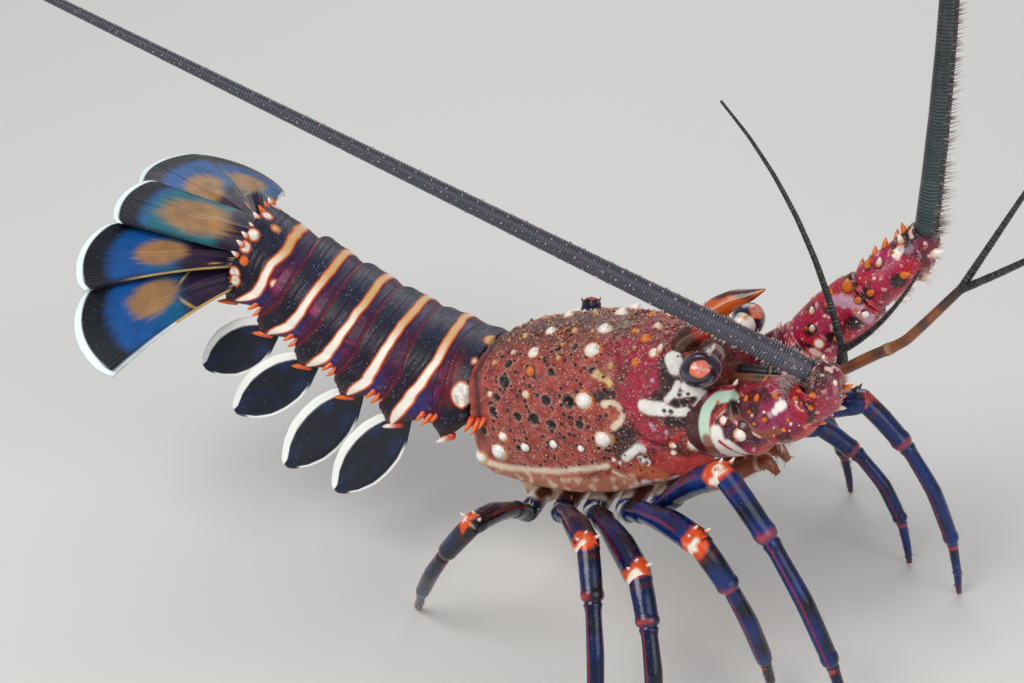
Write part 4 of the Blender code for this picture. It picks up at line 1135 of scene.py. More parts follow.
# legs
legs = {
    "rootX": (0.67, 0.53, 0.39, 0.25, 0.10),
    "rootZ": -0.405,
    # front to rear, -1 for the right side
    "knees": {
        -1: ((1.08, -0.41, 0.07), (1.06, -0.57, -0.13), (0.87, -0.66, -0.27), (0.66, -0.64, -0.21),
             (0.21, -0.68, -0.21)),
        1: ((1.28, 0.45, -0.03), (1.04, 0.62, -0.28), (0.80, 0.72, -0.14), (0.45, 0.76, -0.12),
            (0.03, 0.67, 0.03)),
    },
    "feet": {
        -1: ((1.56, -0.40), (1.24, -0.34), (1.00, -0.86), (0.80, -0.92), (-0.21, -0.43)),
        1: ((1.66, 0.54), (1.42, 0.66), (1.02, 1.08), (0.42, 1.14), (-0.12, 0.98)),
    },
    "thigh": (0.12, 0.24, 0.3, 0.62, 0.9, 1.0),  # the points of each tube, as parts of it
    "shin": (0.0, 0.1, 0.24, 0.3, 0.5, 0.72, 0.78, 0.9, 1.0),
    "girth": (0.052, 0.05, 0.049, 0.047, 0.044),
    "upperGirth": (0.92, 0.9, 0.82, 0.88, 0.78, 1.0, 1.0, 0.86),
    "lowerGirth": (0.86, 0.85, 0.8, 0.6, 0.66, 0.62, 0.42, 0.36),
    "footRadius": 0.012,
    "overlap": 0.014,  # of both tubes at the knee
    "kneeSpine": (0.011, 0.034),
    "footHairs": 16,
    "hipHairs": 10,
    "grid": (36, 136),
    "dark": rgb(3, 9, 24),
    "blue": rgb(0, 50, 122),
    "line": rgb(158, 22, 30),
    "orange": rgb(224, 78, 20),
    "white": rgb(250, 240, 222),
    "brown": rgb(86, 30, 22),
    "foot": rgb(120, 60, 40),
}


def paintUpper(index, side):
    c = legs
    bluer = 0.75 if index < 2 else 0.4  # the two front pairs

    def paint(u, v, place):
        grain = rough(place, 0.006, index + side)
        fine = rough(place, 0.0022, index - side)
        turn = cos(2 * pi * (u - 0.25))  # 1 on the upper side
        # dark blue shell with lighter blue patches; the extra lighter blue towards the upper side is a
        # painted sheen
        colour = blend(c["dark"], c["blue"], bluer * step(-0.5, 0.7, grain + 0.5 * turn))
        line = bump(0.47 * side, 0.12, cos(2 * pi * u)) * step(0.4, 0.5, v) * (1 - step(0.8, 0.86, v))
        colour = blend(colour, c["line"], 0.8 * line)
        hip = 1 - step(0.20, 0.26, v + 0.02 * fine)
        colour = blend(colour, c["brown"], hip)
        colour = blend(colour, c["white"], 0.95 * hip * step(-0.15, 0.1, grain + 0.35 * turn))
        ring = bump(0.30 + 0.012 * fine, 0.03, v)
        colour = blend(colour, c["white"], 0.8 * ring * step(-0.4, 0.3, turn + grain))
        patchy = v + 0.05 * grain + 0.03 * fine
        start = 0.895 if side < 0 else 0.965
        knee = step(start, start + 0.02, patchy) * step(-0.75, -0.45, turn + 0.7 * grain)
        colour = blend(colour, c["orange"], 0.95 * knee)
        white = step(0.93, 0.95, patchy) * step(0.0, 0.3, turn + 0.7 * grain) if side < 0 else 0.0
        colour = blend(colour, c["white"], 0.95 * white)
        return shaded(colour, 1 - knee)
    return paint


def paintLower(index, side):
    c = legs
    bluer = 0.75 if index < 2 else 0.4  # the two front pairs

    def paint(u, v, place):
        grain = rough(place, 0.006, index + side * 2)
        turn = cos(2 * pi * (u - 0.25))
        # dark blue shell with lighter blue patches; the extra lighter blue towards the upper side is a
        # painted sheen
        colour = blend(c["dark"], c["blue"], bluer * step(-0.5, 0.7, grain + 0.4 * turn))
        line = bump(0.5 * side, 0.16, cos(2 * pi * u)) * step(0.2, 0.26, v) * (1 - step(0.72, 0.8, v))
        colour = blend(colour, c["line"], 0.85 * line)
        knee = (1 - step(0.035, 0.06, v + 0.05 * grain)) * step(-0.6, -0.3, turn + 0.7 * grain)
        colour = blend(colour, c["orange"], knee * (1.0 if side < 0 else 0.5))
        white = (1 - step(0.02, 0.035, v + 0.03 * grain)) * step(0.1, 0.4, turn + grain) if side < 0 else 0.0
        colour = blend(colour, c["white"], 0.9 * white)
        colour = blend(colour, c["brown"], 0.6 * bump(0.09, 0.02, v))
        joint = bump(0.26, 0.025, v) * step(-0.2, 0.4, turn + grain)
        colour = blend(colour, c["orange"], 0.45 * joint)
        joint = bump(0.765, 0.016, v) * step(-0.4, 0.3, turn + grain)
        colour = blend(colour, c["orange"], 0.6 * joint)
        colour = blend(colour, c["foot"], 0.7 * step(0.9, 1.0, v))
        return shaded(colour, 1.0)
    return paint


def legFinish():
    f = Finish("legShell", 0.26, coat=0.3, coatRoughness=0.12, specular=0.4)
    f.tint(f.times(f.dots(0.0014, 0.06, 0.13), f.share), 0.35, 0.2, 0.3, 0.5)
    gloss = f.ramp(f.noise(0.0015, 3.0), (0.35, 0.16), (0.7, 0.34))
    return f.wear(f.noise(0.0008, 3.0), 0.0001, gloss)


def legTubes(side, index):  # the two tubes, and the place and directions of the spines at the knee
    c = legs
    girth = c["girth"][index]
    x, z = c["rootX"][index], c["rootZ"]
    inner = toLevel @ Vector((x, side * 0.07, z + 0.005))
    hip = toLevel @ Vector((x + 0.01, side * 0.27, z - 0.02))
    knee = Vector(c["knees"][side][index])
    foot = Vector((*c["feet"][side][index], -body["height"]))
    thigh = bowed(hip, knee, (0, 0, 0.035), c["thigh"])
    out = Vector((knee.x - hip.x, knee.y - hip.y, 0.0)).normalized()
    bow = (out * 0.8 + Vector((0.0, 0.0, 0.35))) * 0.10
    shin = bowed(knee, foot, bow, c["shin"])
    guide = out.cross(Vector((0.0, 0.0, 1.0)))
    forward = (knee - thigh[-2]).normalized()
    thigh[-1] = knee + forward * c["overlap"]
    shin[0] = knee - (shin[1] - knee).normalized() * c["overlap"]
    shin[-1] = foot + Vector((0.0, 0.0, 0.8 * c["footRadius"]))
    upper = Path([inner, hip] + thigh, [girth * value for value in c["upperGirth"]], guide, 0.9)
    lower = Path(shin, [girth * value for value in c["lowerGirth"]] + [c["footRadius"]], guide, 0.86)
    return upper, lower, thigh[-2], forward, guide


def upperShape(u, part):
    seam = 0.14 * bump(0.27, 0.02, part) + 0.16 * bump(0.335, 0.016, part)
    return 1.02 - seam + 0.06 * bump(0.93, 0.05, part) + 0.03 * sin(4 * pi * u)


def lowerShape(_, part):
    seam = 0.2 * bump(0.275, 0.014, part) + 0.2 * bump(0.755, 0.012, part)
    return 1.02 - seam + 0.10 * bump(0.24, 0.03, part) + 0.12 * bump(0.735, 0.03, part)


def makeLegs():
    c = legs
    shell = legFinish()
    spines, hairs = bmesh.new(), bmesh.new()
    for side, name in sides:
        for index in range(5):
            upper, lower, nearKnee, forward, guide = legTubes(side, index)
            leg = f"{index + 1}_{name}"
            grown(upper.place(levelFrame, upperShape), paintUpper(index, side), c["grid"], "legUpper" + leg,
                  shell, "leg_shell", f"leg_{leg}_upper")
            grown(lower.place(levelFrame, lowerShape), paintLower(index, side), c["grid"], "legLower" + leg,
                  shell, "leg_shell", f"leg_{leg}_lower")
            base, tip = (c["orange"], c["white"]) if side < 0 else (c["dark"], c["brown"])
            for lean in (-1.0, 0.0, 0.9):
                way = Vector((0.0, 0.0, 1.0)) + guide * lean
                root = nearKnee + forward * 0.03 * (1 if lean else 0.4)
                root = root + way.normalized() * c["girth"][index] * 0.85
                thorn(spines, levelFrame, root, way + forward * 0.9, *c["kneeSpine"], base, tip, sink=0.01,
                      fine=8, power=0.7, hook=0.1)
            chance = random.Random(index + 10 * side)
            column = index + (5 if side > 0 else 0)
            for _ in range(c["footHairs"]):
                bristle(hairs, levelFrame, lower, chance.uniform(0.8, 0.96), chance.uniform(0, 2 * pi), 1.2,
                        0.0022, 0.016, c["brown"], c["orange"], column)
            for _ in range(c["hipHairs"]):
                bristle(hairs, levelFrame, upper, chance.uniform(0.16, 0.34), chance.uniform(0, 2 * pi), 0.6,
                        0.0016, 0.030, c["white"], c["white"], column, 0.3)
    finished(spines, "legSpines", hornShell, "horn_shell")
    finished(hairs, "legHairs", hornShell, "horn_shell")


makeLegs()
print("legs made")


# eyes, on short stalks
eyes = {
    "centre": (0.965, 0.215, 0.10),
    "radius": 0.062,
    "stalkRadii": (0.042, 0.05),
    "look": {-1: (0.42, -0.78, 0.42), 1: (0.80, -0.10, 0.55)},  # -1 for the right side; the eye-shine is painted round this pole
    "wide": (1.19, 1.0),  # radii across and up
    "dark": rgb(34, 24, 44),
    "violet": rgb(86, 66, 96),
    "pink": rgb(244, 128, 112),
    "glint": rgb(250, 196, 176),
    "orange": rgb(236, 112, 38),
    "rim": rgb(220, 200, 190),
    "stalk": rgb(60, 26, 22),
    "white": rgb(250, 240, 226),
    "blotch": {-1: rgb(120, 40, 40), 1: rgb(240, 150, 60)},
    "stain": {-1: rgb(120, 30, 44), 1: rgb(240, 150, 50)},
    "grid": (120, 110),
    "stalkGrid": (32, 20),
}


def makeEyes():
    c = eyes
    f = Finish("eyeGlass", 0.08, coat=1.0, coatRoughness=0.02)
    facets = f.ramp(f.cells(0.00022, 0.2), (0.1, 0.0), (0.6, 1.0))
    glass = f.wear(facets, 0.00001)
    for side, name in sides:
        x, y, z = c["centre"]
        centre = Vector((x, side * y, z))
        look = Vector(c["look"][side]).normalized()
        across = look.cross(Vector((0, 0, 1))).normalized()
        over = across.cross(look)

        def place(u, v):
            turn = pi * v
            ring = across * cos(2 * pi * u) * c["wide"][0] + over * sin(2 * pi * u) * c["wide"][1]
            lip = 0.03 * bump(0.455, 0.02, v) - 0.06 * step(0.50, 0.70, v)
            return bodyFrame @ (centre + (look * cos(turn) + ring * sin(turn)) * c["radius"] * (1 + lip))

        def paint(u, v, _):
            ring = 2 * pi * u
            colour = blend(c["dark"], c["violet"], 0.7 * step(0.14, 0.5, v))
            # painted reflection: the orange star, the pink disc and the pale cross round the pole are the
            # eye-shine, and the right eye's pole faces the camera
            star = 0.155 + 0.008 * cos(ring * 5 + 1)
            colour = blend(colour, c["orange"], 1 - step(star, star + 0.015, v))
            inner = star - 0.03 * step(-0.3, 0.6, cos(ring + 0.5))
            colour = blend(colour, c["pink"], 1 - step(inner - 0.01, inner + 0.01, v))
            cross = max(bump(0.0, 0.022, v * sin(ring - 0.6)), bump(0.0, 0.022, v * cos(ring - 0.6)))
            colour = blend(colour, c["glint"], 0.85 * cross * (1 - step(0.08, 0.12, v)))
            colour = blend(colour, c["rim"], bump(0.452, 0.013, v))
            colour = blend(colour, c["stalk"], step(0.47, 0.49, v))
            blotch = step(0.0, 0.4, rough((u * 7, v * 5, side), 0.6)) * step(0.52, 0.56, v)
            colour = blend(colour, c["blotch"][side], 0.8 * blotch)
            return shaded(colour, 0.0)
        mesh = bmesh.new()
        grow(mesh, place, paint, *c["grid"])
        ends = [centre + Vector((-0.005, -side * 0.14, 0)), centre + Vector((0, -side * 0.03, 0))]
        stalk = Path(ends, c["stalkRadii"])

        def paintStalk(_, __, point):
            mottle = step(-0.1, 0.4, rough(point, 0.003, side))
            colour = blend(c["stalk"], c["stain"][side], 0.9 * mottle)
            white = step(0.1, 0.3, rough(point, 0.004, 9)) * (1.0 if side > 0 else 0.3)
            return shaded(blend(colour, c["white"], white), 0.0)
        grow(mesh, stalk.place(bodyFrame), paintStalk, *c["stalkGrid"])
        finished(mesh, f"eyeBall_{name}", glass, "eye_surface", f"eye_{name}")


makeEyes()
print("eyes made")


# the two horns over the eyes
horns = {
    "points": ((0.84, 0.12, 0.12), (0.90, 0.125, 0.185), (0.97, 0.135, 0.215), (1.04, 0.142, 0.225),
               (1.10, 0.145, 0.24)),
    "radii": (0.05, 0.045, 0.035, 0.022, 0.004),
    "dark": rgb(54, 16, 16),
    "orange": rgb(226, 96, 26),
    "white": rgb(250, 228, 200),
    "ember": rgb(190, 50, 20),
    "thorns": ((0.35, 1.2), (0.5, 2.6), (0.62, 0.6)),
    "grid": (40, 60),
}


def makeHorns():
    c = horns
    for side, name in sides:
        path = Path([(x, side * y, z) for x, y, z in c["points"]], c["radii"], (0, 1, 0))

        def paint(u, v, point):
            grain = rough(point, 0.004, side)
            flame = step(0.1, 0.7, cos(2 * pi * (u - 0.72)) + grain)
            start, fire = (0.12, c["orange"]) if side > 0 else (0.42, c["ember"])
            colour = blend(c["dark"], fire, 0.85 * flame * step(start, start + 0.18, v))
            edge = bump(0.0, 0.12, cos(2 * pi * (u - 0.55))) * step(0.1, 0.3, v)
            colour = blend(colour, c["white"], (0.6 if side > 0 else 0.12) * edge)
            return shaded(colour, 0.0)
        mesh = bmesh.new()
        grow(mesh, path.place(bodyFrame), paint, *c["grid"])
        for part, turn in c["thorns"]:
            centre, way, outward, radius = path.aside(part, turn)
            thorn(mesh, bodyFrame, centre + outward * radius * 0.8, outward + way, 0.010, 0.022, c["orange"],
                  c["white"], sink=0.01, fine=8)
        finished(mesh, f"browHorn_{name}", hornShell, "horn_shell", f"horn_{name}")


makeHorns()
print("horns made")


# the big feelers: a jointed base, then a long ringed whip
feelers = {
    "right": {
        "base": ((0.90, -0.17, -0.12), (0.98, -0.19, -0.12), (1.12, -0.215, -0.095), (1.16, -0.22, -0.08),
                 (1.27, -0.235, -0.05), (1.35, -0.25, -0.015)),
        "baseRadii": (0.105, 0.122, 0.12, 0.105, 0.112, 0.093),
        "end": ((1.42, -0.27, 0.02), (1.45, -0.295, 0.075), (1.42, -0.31, 0.12)),
        "endRadii": (0.09, 0.085, 0.075, 0.058),
        "tip": (-2.1, -1.5, 2.36),
        "bow": (0.0, 0.0, 0.0),
        # strokes of paint on the base: places as part and degrees, half width, softness, colour, strength
        "strokes": (
            (((0.02, 200), (0.08, 250), (0.08, 320)), 0.060, 0.02, "shade", 0.95),
            (((0.12, 190), (0.16, 235)), 0.030, 0.02, "shade", 0.9),
            (((0.45, 310), (0.70, 322)), 0.055, 0.025, "maroon", 0.9),
            (((0.40, 285), (0.58, 262)), 0.050, 0.025, "purple", 0.95),
            (((0.75, 272), (0.98, 280)), 0.060, 0.03, "magenta", 0.9),
            (((0.45, 213), (0.72, 208), (1.0, 204)), 0.026, 0.012, "rust", 0.9),
            (((0.45, 339), (0.30, 342), (0.23, 321), (0.21, 300), (0.21, 268)), 0.026, 0.006, "green", 1.0),
            (((0.21, 268), (0.19, 243), (0.17, 210)), 0.022, 0.008, "brown", 0.9),
            (((0.42, 325), (0.27, 300), (0.26, 275)), 0.006, 0.003, "rust", 1.0),
            (((0.44, 318), (0.31, 300), (0.30, 280)), 0.006, 0.003, "pale", 1.0),
            (((0.44, 312), (0.57, 273), (0.65, 249), (0.81, 252)), 0.018, 0.006, "brown", 0.95),
            (((0.42, 308), (0.55, 271), (0.63, 246)), 0.005, 0.003, "pale", 1.0),
            (((0.31, 280), (0.30, 250), (0.33, 222)), 0.026, 0.008, "white", 1.0),
            (((0.37, 255), (0.44, 231)), 0.018, 0.006, "white", 1.0),
            (((0.31, 262), (0.36, 243)), 0.007, 0.003, "crimson", 1.0),
            (((0.93, 292), (0.96, 294)), 0.017, 0.006, "white", 1.0),
            (((0.88, 287),), 0.013, 0.005, "white", 1.0),
            # painted highlight: this lilac spot is a glint of light on the magenta
            (((0.83, 285),), 0.013, 0.005, "lilac", 0.9),
            (((0.71, 213),), 0.014, 0.004, "white", 1.0),
            (((0.52, 320),), 0.030, 0.010, "black", 0.9),
            (((0.68, 300),), 0.026, 0.010, "black", 0.85),
        ),
        "endStrokes": (),
        # knobs and spines: which tube, part, degrees, radius, length, colour of the tip
        "horns": (
            (0, 0.41, 297, 0.024, 0.014, "white"), (0, 0.50, 267, 0.033, 0.020, "white"),
            (0, 0.72, 321, 0.016, 0.035, "orange"), (0, 0.61, 327, 0.014, 0.030, "orange"),
            (0, 0.76, 279, 0.014, 0.028, "orange"), (0, 0.65, 276, 0.012, 0.020, "orange"),
            (0, 0.92, 315, 0.017, 0.036, "orange"), (0, 0.85, 249, 0.014, 0.026, "orange"),
            (1, 0.74, 279, 0.015, 0.034, "orange"), (1, 0.45, 264, 0.015, 0.034, "orange"),
            (1, 0.26, 294, 0.015, 0.034, "orange"), (1, 0.73, 213, 0.015, 0.030, "white"),
        ),
        # tufts of hairs: which tube, part, degrees, number of hairs
        "tufts": ((1, 0.10, 320, 70), (1, 0.35, 340, 70), (1, 0.88, 243, 24), (0, 0.96, 330, 24),
                  (0, 0.7, 200, 40)),
    },
    "left": {
        "base": ((0.90, 0.17, -0.125), (0.98, 0.19, -0.115), (1.12, 0.205, -0.055), (1.16, 0.21, -0.03),
                 (1.32, 0.225, 0.085), (1.44, 0.24, 0.165)),
        "baseRadii": (0.105, 0.122, 0.117, 0.103, 0.108, 0.088),
        "end": ((1.52, 0.26, 0.215), (1.62, 0.29, 0.275), (1.68, 0.30, 0.345)),
        "endRadii": (0.085, 0.085, 0.078, 0.058),
        "tip": (1.0, 1.15, 4.45),
        "bow": (0.24, -0.3, 0.15),
        "strokes": (
            (((0.10, 200), (0.30, 260), (0.34, 330)), 0.07, 0.03, "shade", 0.85),
            (((0.54, 262), (0.56, 200)), 0.020, 0.010, "salmon", 0.9),
            (((0.58, 258), (0.62, 201)), 0.015, 0.005, "pale", 0.95),
            (((0.52, 315), (0.60, 264)), 0.006, 0.003, "black", 1.0),
            (((0.65, 294),), 0.026, 0.008, "black", 0.95), (((0.72, 252),), 0.024, 0.008, "black", 0.95),
            (((0.87, 243),), 0.028, 0.008, "black", 0.95),
            (((0.64, 190), (0.92, 186)), 0.022, 0.010, "pale", 0.7),
            (((0.87, 306), (0.95, 276), (0.94, 250), (0.93, 219)), 0.020, 0.008, "lilac", 0.85),
            (((0.64, 261),), 0.022, 0.004, "orange", 1.0), (((0.64, 261),), 0.016, 0.004, "white", 1.0),
        ),
        "endStrokes": (
            (((0.79, 318),), 0.045, 0.010, "black", 0.95), (((0.79, 318),), 0.020, 0.006, "crimson", 1.0),
            (((0.43, 246),), 0.030, 0.008, "black", 0.95), (((0.08, 270),), 0.026, 0.008, "black", 0.95),
            (((0.61, 306), (0.70, 303)), 0.018, 0.005, "white", 1.0),
            (((0.74, 303), (0.67, 207)), 0.010, 0.006, "pale", 0.8),
            (((0.60, 300), (0.52, 215)), 0.008, 0.005, "pale", 0.7),
            (((0.20, 195), (0.52, 192)), 0.022, 0.010, "pale", 0.7),
        ),
        "horns": (
            (0, 0.97, 312, 0.026, 0.056, "orange"), (0, 0.98, 273, 0.016, 0.036, "orange"),
            (0, 0.86, 321, 0.016, 0.036, "orange"), (0, 0.82, 309, 0.015, 0.034, "orange"),
            (0, 0.72, 318, 0.016, 0.036, "white"), (0, 0.67, 291, 0.016, 0.036, "white"),
            (0, 0.73, 243, 0.016, 0.036, "orange"), (0, 0.94, 237, 0.022, 0.020, "white"),
            (0, 0.83, 188, 0.020, 0.055, "white"), (1, 0.85, 204, 0.019, 0.050, "white"),
            (1, 0.61, 188, 0.019, 0.055, "white"), (1, 0.23, 188, 0.020, 0.058, "white"),
            (1, 0.79, 318, 0.018, 0.044, "white"), (1, 0.51, 249, 0.018, 0.044, "orange"),
            (1, 0.26, 327, 0.016, 0.036, "orange"), (1, 0.37, 309, 0.016, 0.040, "white"),
            (1, 0.12, 267, 0.016, 0.036, "orange"), (1, 0.87, 350, 0.016, 0.040, "orange"),
            (1, 0.50, 357, 0.016, 0.040, "orange"),
        ),
        "tufts": ((1, 0.80, 195, 22), (1, 0.62, 190, 22), (1, 0.32, 186, 22), (0, 0.88, 186, 22),
                  (0, 0.97, 190, 22)),
    },
    "radius": 0.042,
    "tipRadius": 0.007,
    "rings": {"right": 420, "left": 330},  # along each whip
    "grains": 90,
    "whipHairs": 700,
    "bumps": 330,
    # radians round the right whip, for its rows of bumps and of hairs
    "bumpTurns": (3.5, 4.4, 5.3, 1.2, 2.3),
    "hairTurns": (0.4, 1.6, 2.8, 4.4, 5.4),
    "baseGrid": (170, 190),
    "endGrid": (150, 120),
    "whipGrid": (16, 1700),
    "pink": rgb(176, 150, 160),
    "hairRoot": rgb(150, 130, 126),
    "hairTip": rgb(236, 228, 220),
    "crimson": rgb(176, 18, 50),
    "magenta": rgb(150, 26, 84),
    "purple": rgb(60, 18, 58),
    "maroon": rgb(84, 14, 30),
    "pale": rgb(244, 200, 190),
    "black": rgb(14, 8, 14),
    "shade": rgb(66, 26, 28),
    "brown": rgb(150, 84, 66),
    "rust": rgb(196, 60, 24),
    "salmon": rgb(220, 110, 92),
    "lilac": rgb(206, 160, 186),
    "orange": rgb(234, 120, 30),
    "white": rgb(252, 246, 236),
    "green": rgb(198, 226, 202),
    "whip": rgb(42, 45, 57),
    "teal": rgb(30, 74, 72),
    "ring": rgb(150, 134, 146),
    "umber": rgb(30, 24, 30),
    "russet": rgb(84, 34, 28),
    "sheen": rgb(68, 74, 88),
    "seed": 7,
}


def paintBase(name, path, strokes, collar):
    c = feelers
    marks = Marks()
    for places, half, soft, colour, strength in strokes:
        marks.add([path.skin(part, angle) for part, angle in places], half, soft, c[colour], strength)
    back = levelFrame.inverted()

    def paint(u, v, place):
        grain = rough(place, 0.006, 2)
        fine = rough(place, 0.0013, 5)
        colour = blend(c["crimson"], c["magenta"], 0.8 * step(-0.3, 0.5, grain))
        colour = blend(colour, c["maroon"], 0.75 * step(0.0, 0.45, rough(place, 0.004, 9)))
        colour = blend(colour, c["black"], 0.9 * step(0.34, 0.46, rough(place, 0.0045, 14)))
        colour = blend(colour, c["pale"], 0.55 * step(0.36, 0.52, fine))
        colour = marks.over(colour, back @ place)
        if collar:
            dark = step(0.66, 0.8, v)
            colour = blend(colour, c["black"], (0.85 if name == "right" else 0.5) * dark)
            colour = blend(colour, c["pale"], 0.8 * dark * step(0.2, 0.35, rough(place, 0.0015, 3)))
        return shaded(colour, 1 - step(0.3, 0.5, min(colour)))
    return paint


def paintWhip(name):
    c = feelers

    def paint(u, v, place):
        near = 1 - step(0.02, 0.22, v)
        facing = cos(2 * pi * (u - 0.72))
        colour = c["whip"]
        if name == "left":
            colour = blend(c["umber"], c["teal"], 0.9 * (0.3 + 0.7 * near) * step(0.1, 0.8, facing))
            colour = blend(colour, c["russet"], 0.7 * near * step(0.1, 0.7, -facing))
        else:
            colour = blend(colour, c["sheen"], 0.6 * step(0.0, 0.8, facing))
        ring = cos(2 * pi * v * c["rings"][name])
        colour = blend(colour, c["ring"], 0.32 * step(0.5, 0.95, ring) * (0.4 + 0.6 * near))
        colour = blend(colour, c["black"], 0.5 * step(0.3, 0.9, -ring))
        if name == "right":
            pale = (1 - step(0.0, 0.05, v)) * step(0.0, 0.5, rough(place, 0.0018, 1))
            colour = blend(colour, c["pale"], 0.5 * pale)
        return shaded(colour, 0.0)
    return paint


def feelerFinishes():
    f = Finish("feelerBaseShell", 0.34, coat=0.3, coatRoughness=0.14)
    f.tint(f.times(f.dots(0.0007, 0.12, 0.24), f.share), 0.5, 0.85, 0.45, 0.42)
    baseShell = f.wear(f.noise(0.0008, 4.0), 0.0002)
    f = Finish("feelerShell", 0.4, coat=0.2, coatRoughness=0.18)
    f.tint(f.clouds(0.0012, 0.45, 0.7), 0.4, 0.10, 0.06, 0.09)
    return baseShell, f.wear(f.noise(0.0006, 3.0), 0.00012)


def feelerSpines(mesh, shown, paths, chance):
    c = feelers
    horns = list(shown)
    for order, low in ((0, 0.4), (1, 0.1)):  # more of them where the picture doesn't show
        for part in (low, low + 0.25, low + 0.5):
            for angle in (20, 75, 130, 165):
                horns.append((order, part + chance.uniform(-0.06, 0.06), angle + chance.uniform(-12, 12),
                              0.016, chance.uniform(0.03, 0.044), chance.choice(("white", "orange"))))
    for order, part, angle, size, long, tip in horns:
        path = paths[order]
        centre, way, _, _, radius = path.at(part)
        root = path.skin(part, angle)
        outward = (root - centre).normalized()
        root -= outward * radius * 0.04
        knob(mesh, levelFrame, root, outward, size * 1.5, 0.010, c["black"], c["maroon"])
        fat = 1.35 if tip == "white" and long > 0.045 else 1.0
        low = blend(c["orange"], c[tip], 0.5 if fat > 1 else 0.0)
        thorn(mesh, levelFrame, root, outward + way * 0.8, size * fat, long, low, c[tip], sink=0.01, fine=10,
              power=0.5 if long < size * 1.2 else 0.65, hook=0.12)
    for _ in range(c["grains"]):
        part, turn = chance.uniform(0.25, 0.97), chance.uniform(0, 2 * pi)
        path = chance.choice((paths[0], *paths))
        centre, way, outward, radius = path.aside(part, turn)
        size = chance.uniform(0.004, 0.010)
        tip = c["white"] if chance.random() > 0.5 else c["orange"]
        thorn(mesh, levelFrame, centre + outward * radius * 0.96, outward + way * 0.5, size, size * 1.7,
              c["orange"], tip, sink=0.006, fine=7, power=0.6)


def feelerHairs(mesh, name, paths, column, chance):
    c = feelers
    for order, part, angle, count in c[name]["tufts"]:
        for _ in range(count):
            where = min(0.98, max(0.02, part + chance.gauss(0, 0.035)))
            turn, way = radians(angle + chance.gauss(0, 9)), chance.uniform(0.0, 0.9)
            bristle(mesh, levelFrame, paths[order], where, turn, way, 0.0016, chance.uniform(0.03, 0.065),
                    c["hairRoot"], c["hairTip"], column, chance.uniform(-0.4, 0.4))
    for _ in range(c["whipHairs"]):  # short and stiff
        part = chance.random() ** 1.5 * 0.98
        if name == "left":
            turn, width, long = chance.gauss(pi, 0.5), 0.0018, chance.uniform(0.035, 0.075)
        else:
            turn = chance.choice(c["hairTurns"]) + chance.uniform(-0.15, 0.15)
            width, long = 0.0026, chance.uniform(0.010, 0.022)
        bristle(mesh, levelFrame, paths[2], part, turn, 0.4, width, long * (1 - 0.6 * part), c["hairRoot"],
                c["hairTip"], column + 1)


def whipBumps(mesh, path, chance):  # rows of pale bumps along the whip
    c = feelers
    for i in range(c["bumps"]):
        part = (i / c["bumps"]) ** 1.2 * 0.9 + 0.008
        turn = c["bumpTurns"][i % 5] + chance.uniform(-0.12, 0.12)
        centre, way, outward, radius = path.aside(part, turn)
        size = radius * chance.uniform(0.09, 0.17)
        thorn(mesh, levelFrame, centre + outward * radius * 0.97, outward + way * 0.3, size, size * 1.2,
              c["ring"], c["pink"], sink=size * 0.5, fine=6, power=0.5)


def makeFeelers():
    c = feelers
    baseShell, whipShell = feelerFinishes()
    spines, hairs = bmesh.new(), bmesh.new()
    for column, name in ((10, "right"), (12, "left")):
        d = c[name]
        base = [toLevel @ Vector(point) for point in d["base"]]
        end = [toLevel @ Vector(point) for point in d["end"]]
        parts = [(i / 14) ** 1.15 for i in range(15)]
        whip = bowed(end[-1], d["tip"], d["bow"], parts)
        radii = [c["tipRadius"] + (c["radius"] - c["tipRadius"]) * (1 - part) ** 1.15 for part in parts]
        basePath = Path(base, d["baseRadii"], (0, 1, 0))
        endPath = Path([base[-1]] + end, d["endRadii"], (0, 1, 0))
        whipPath = Path(whip, radii, (0, 1, 0))

        def baseShape(u, part):
            lobes = 0.04 * sin(4 * pi * u + 1) + 0.03 * sin(6 * pi * u + part * 4)
            waist = 0.12 * bump(0.535, 0.03, part)
            return 1.0 + lobes - waist + 0.05 * bump(0.48, 0.04, part) + 0.05 * bump(0.9, 0.08, part)

        def endShape(u, part):
            lobes = 0.05 * sin(4 * pi * u)
            return 1.0 + lobes - 0.10 * bump(0.06, 0.06, part) + 0.08 * bump(0.75, 0.12, part)

        def ringShape(_, part):
            tooth = (part * c["rings"][name]) % 1.0
            return 0.96 + 0.07 * tooth ** 1.5 - 0.03 * step(0.93, 1.0, tooth)
        grown(basePath.place(levelFrame, baseShape), paintBase(name, basePath, d["strokes"], False),
              c["baseGrid"], f"feelerBase_{name}", baseShell, "feeler_base_shell", f"antenna_base_{name}")
        grown(endPath.place(levelFrame, endShape), paintBase(name, endPath, d["endStrokes"], True),
              c["endGrid"], f"feelerKnuckle_{name}", baseShell, "feeler_base_shell",
              f"antenna_knuckle_{name}")
        grown(whipPath.place(levelFrame, ringShape), paintWhip(name), c["whipGrid"], f"feelerWhip_{name}",
              whipShell, "feeler_shell", f"antenna_whip_near_{name}", f"antenna_whip_far_{name}")
        chance = random.Random(c["seed"])
        feelerSpines(spines, d["horns"], (basePath, endPath), chance)
        feelerHairs(hairs, name, (basePath, endPath, whipPath), column, chance)
        if name == "right":
            whipBumps(spines, whipPath, chance)
    finished(spines, "feelerSpines", hornShell, "horn_shell")
    finished(hairs, "feelerHairs", hornShell, "horn_shell")


makeFeelers()
print("feelers made")


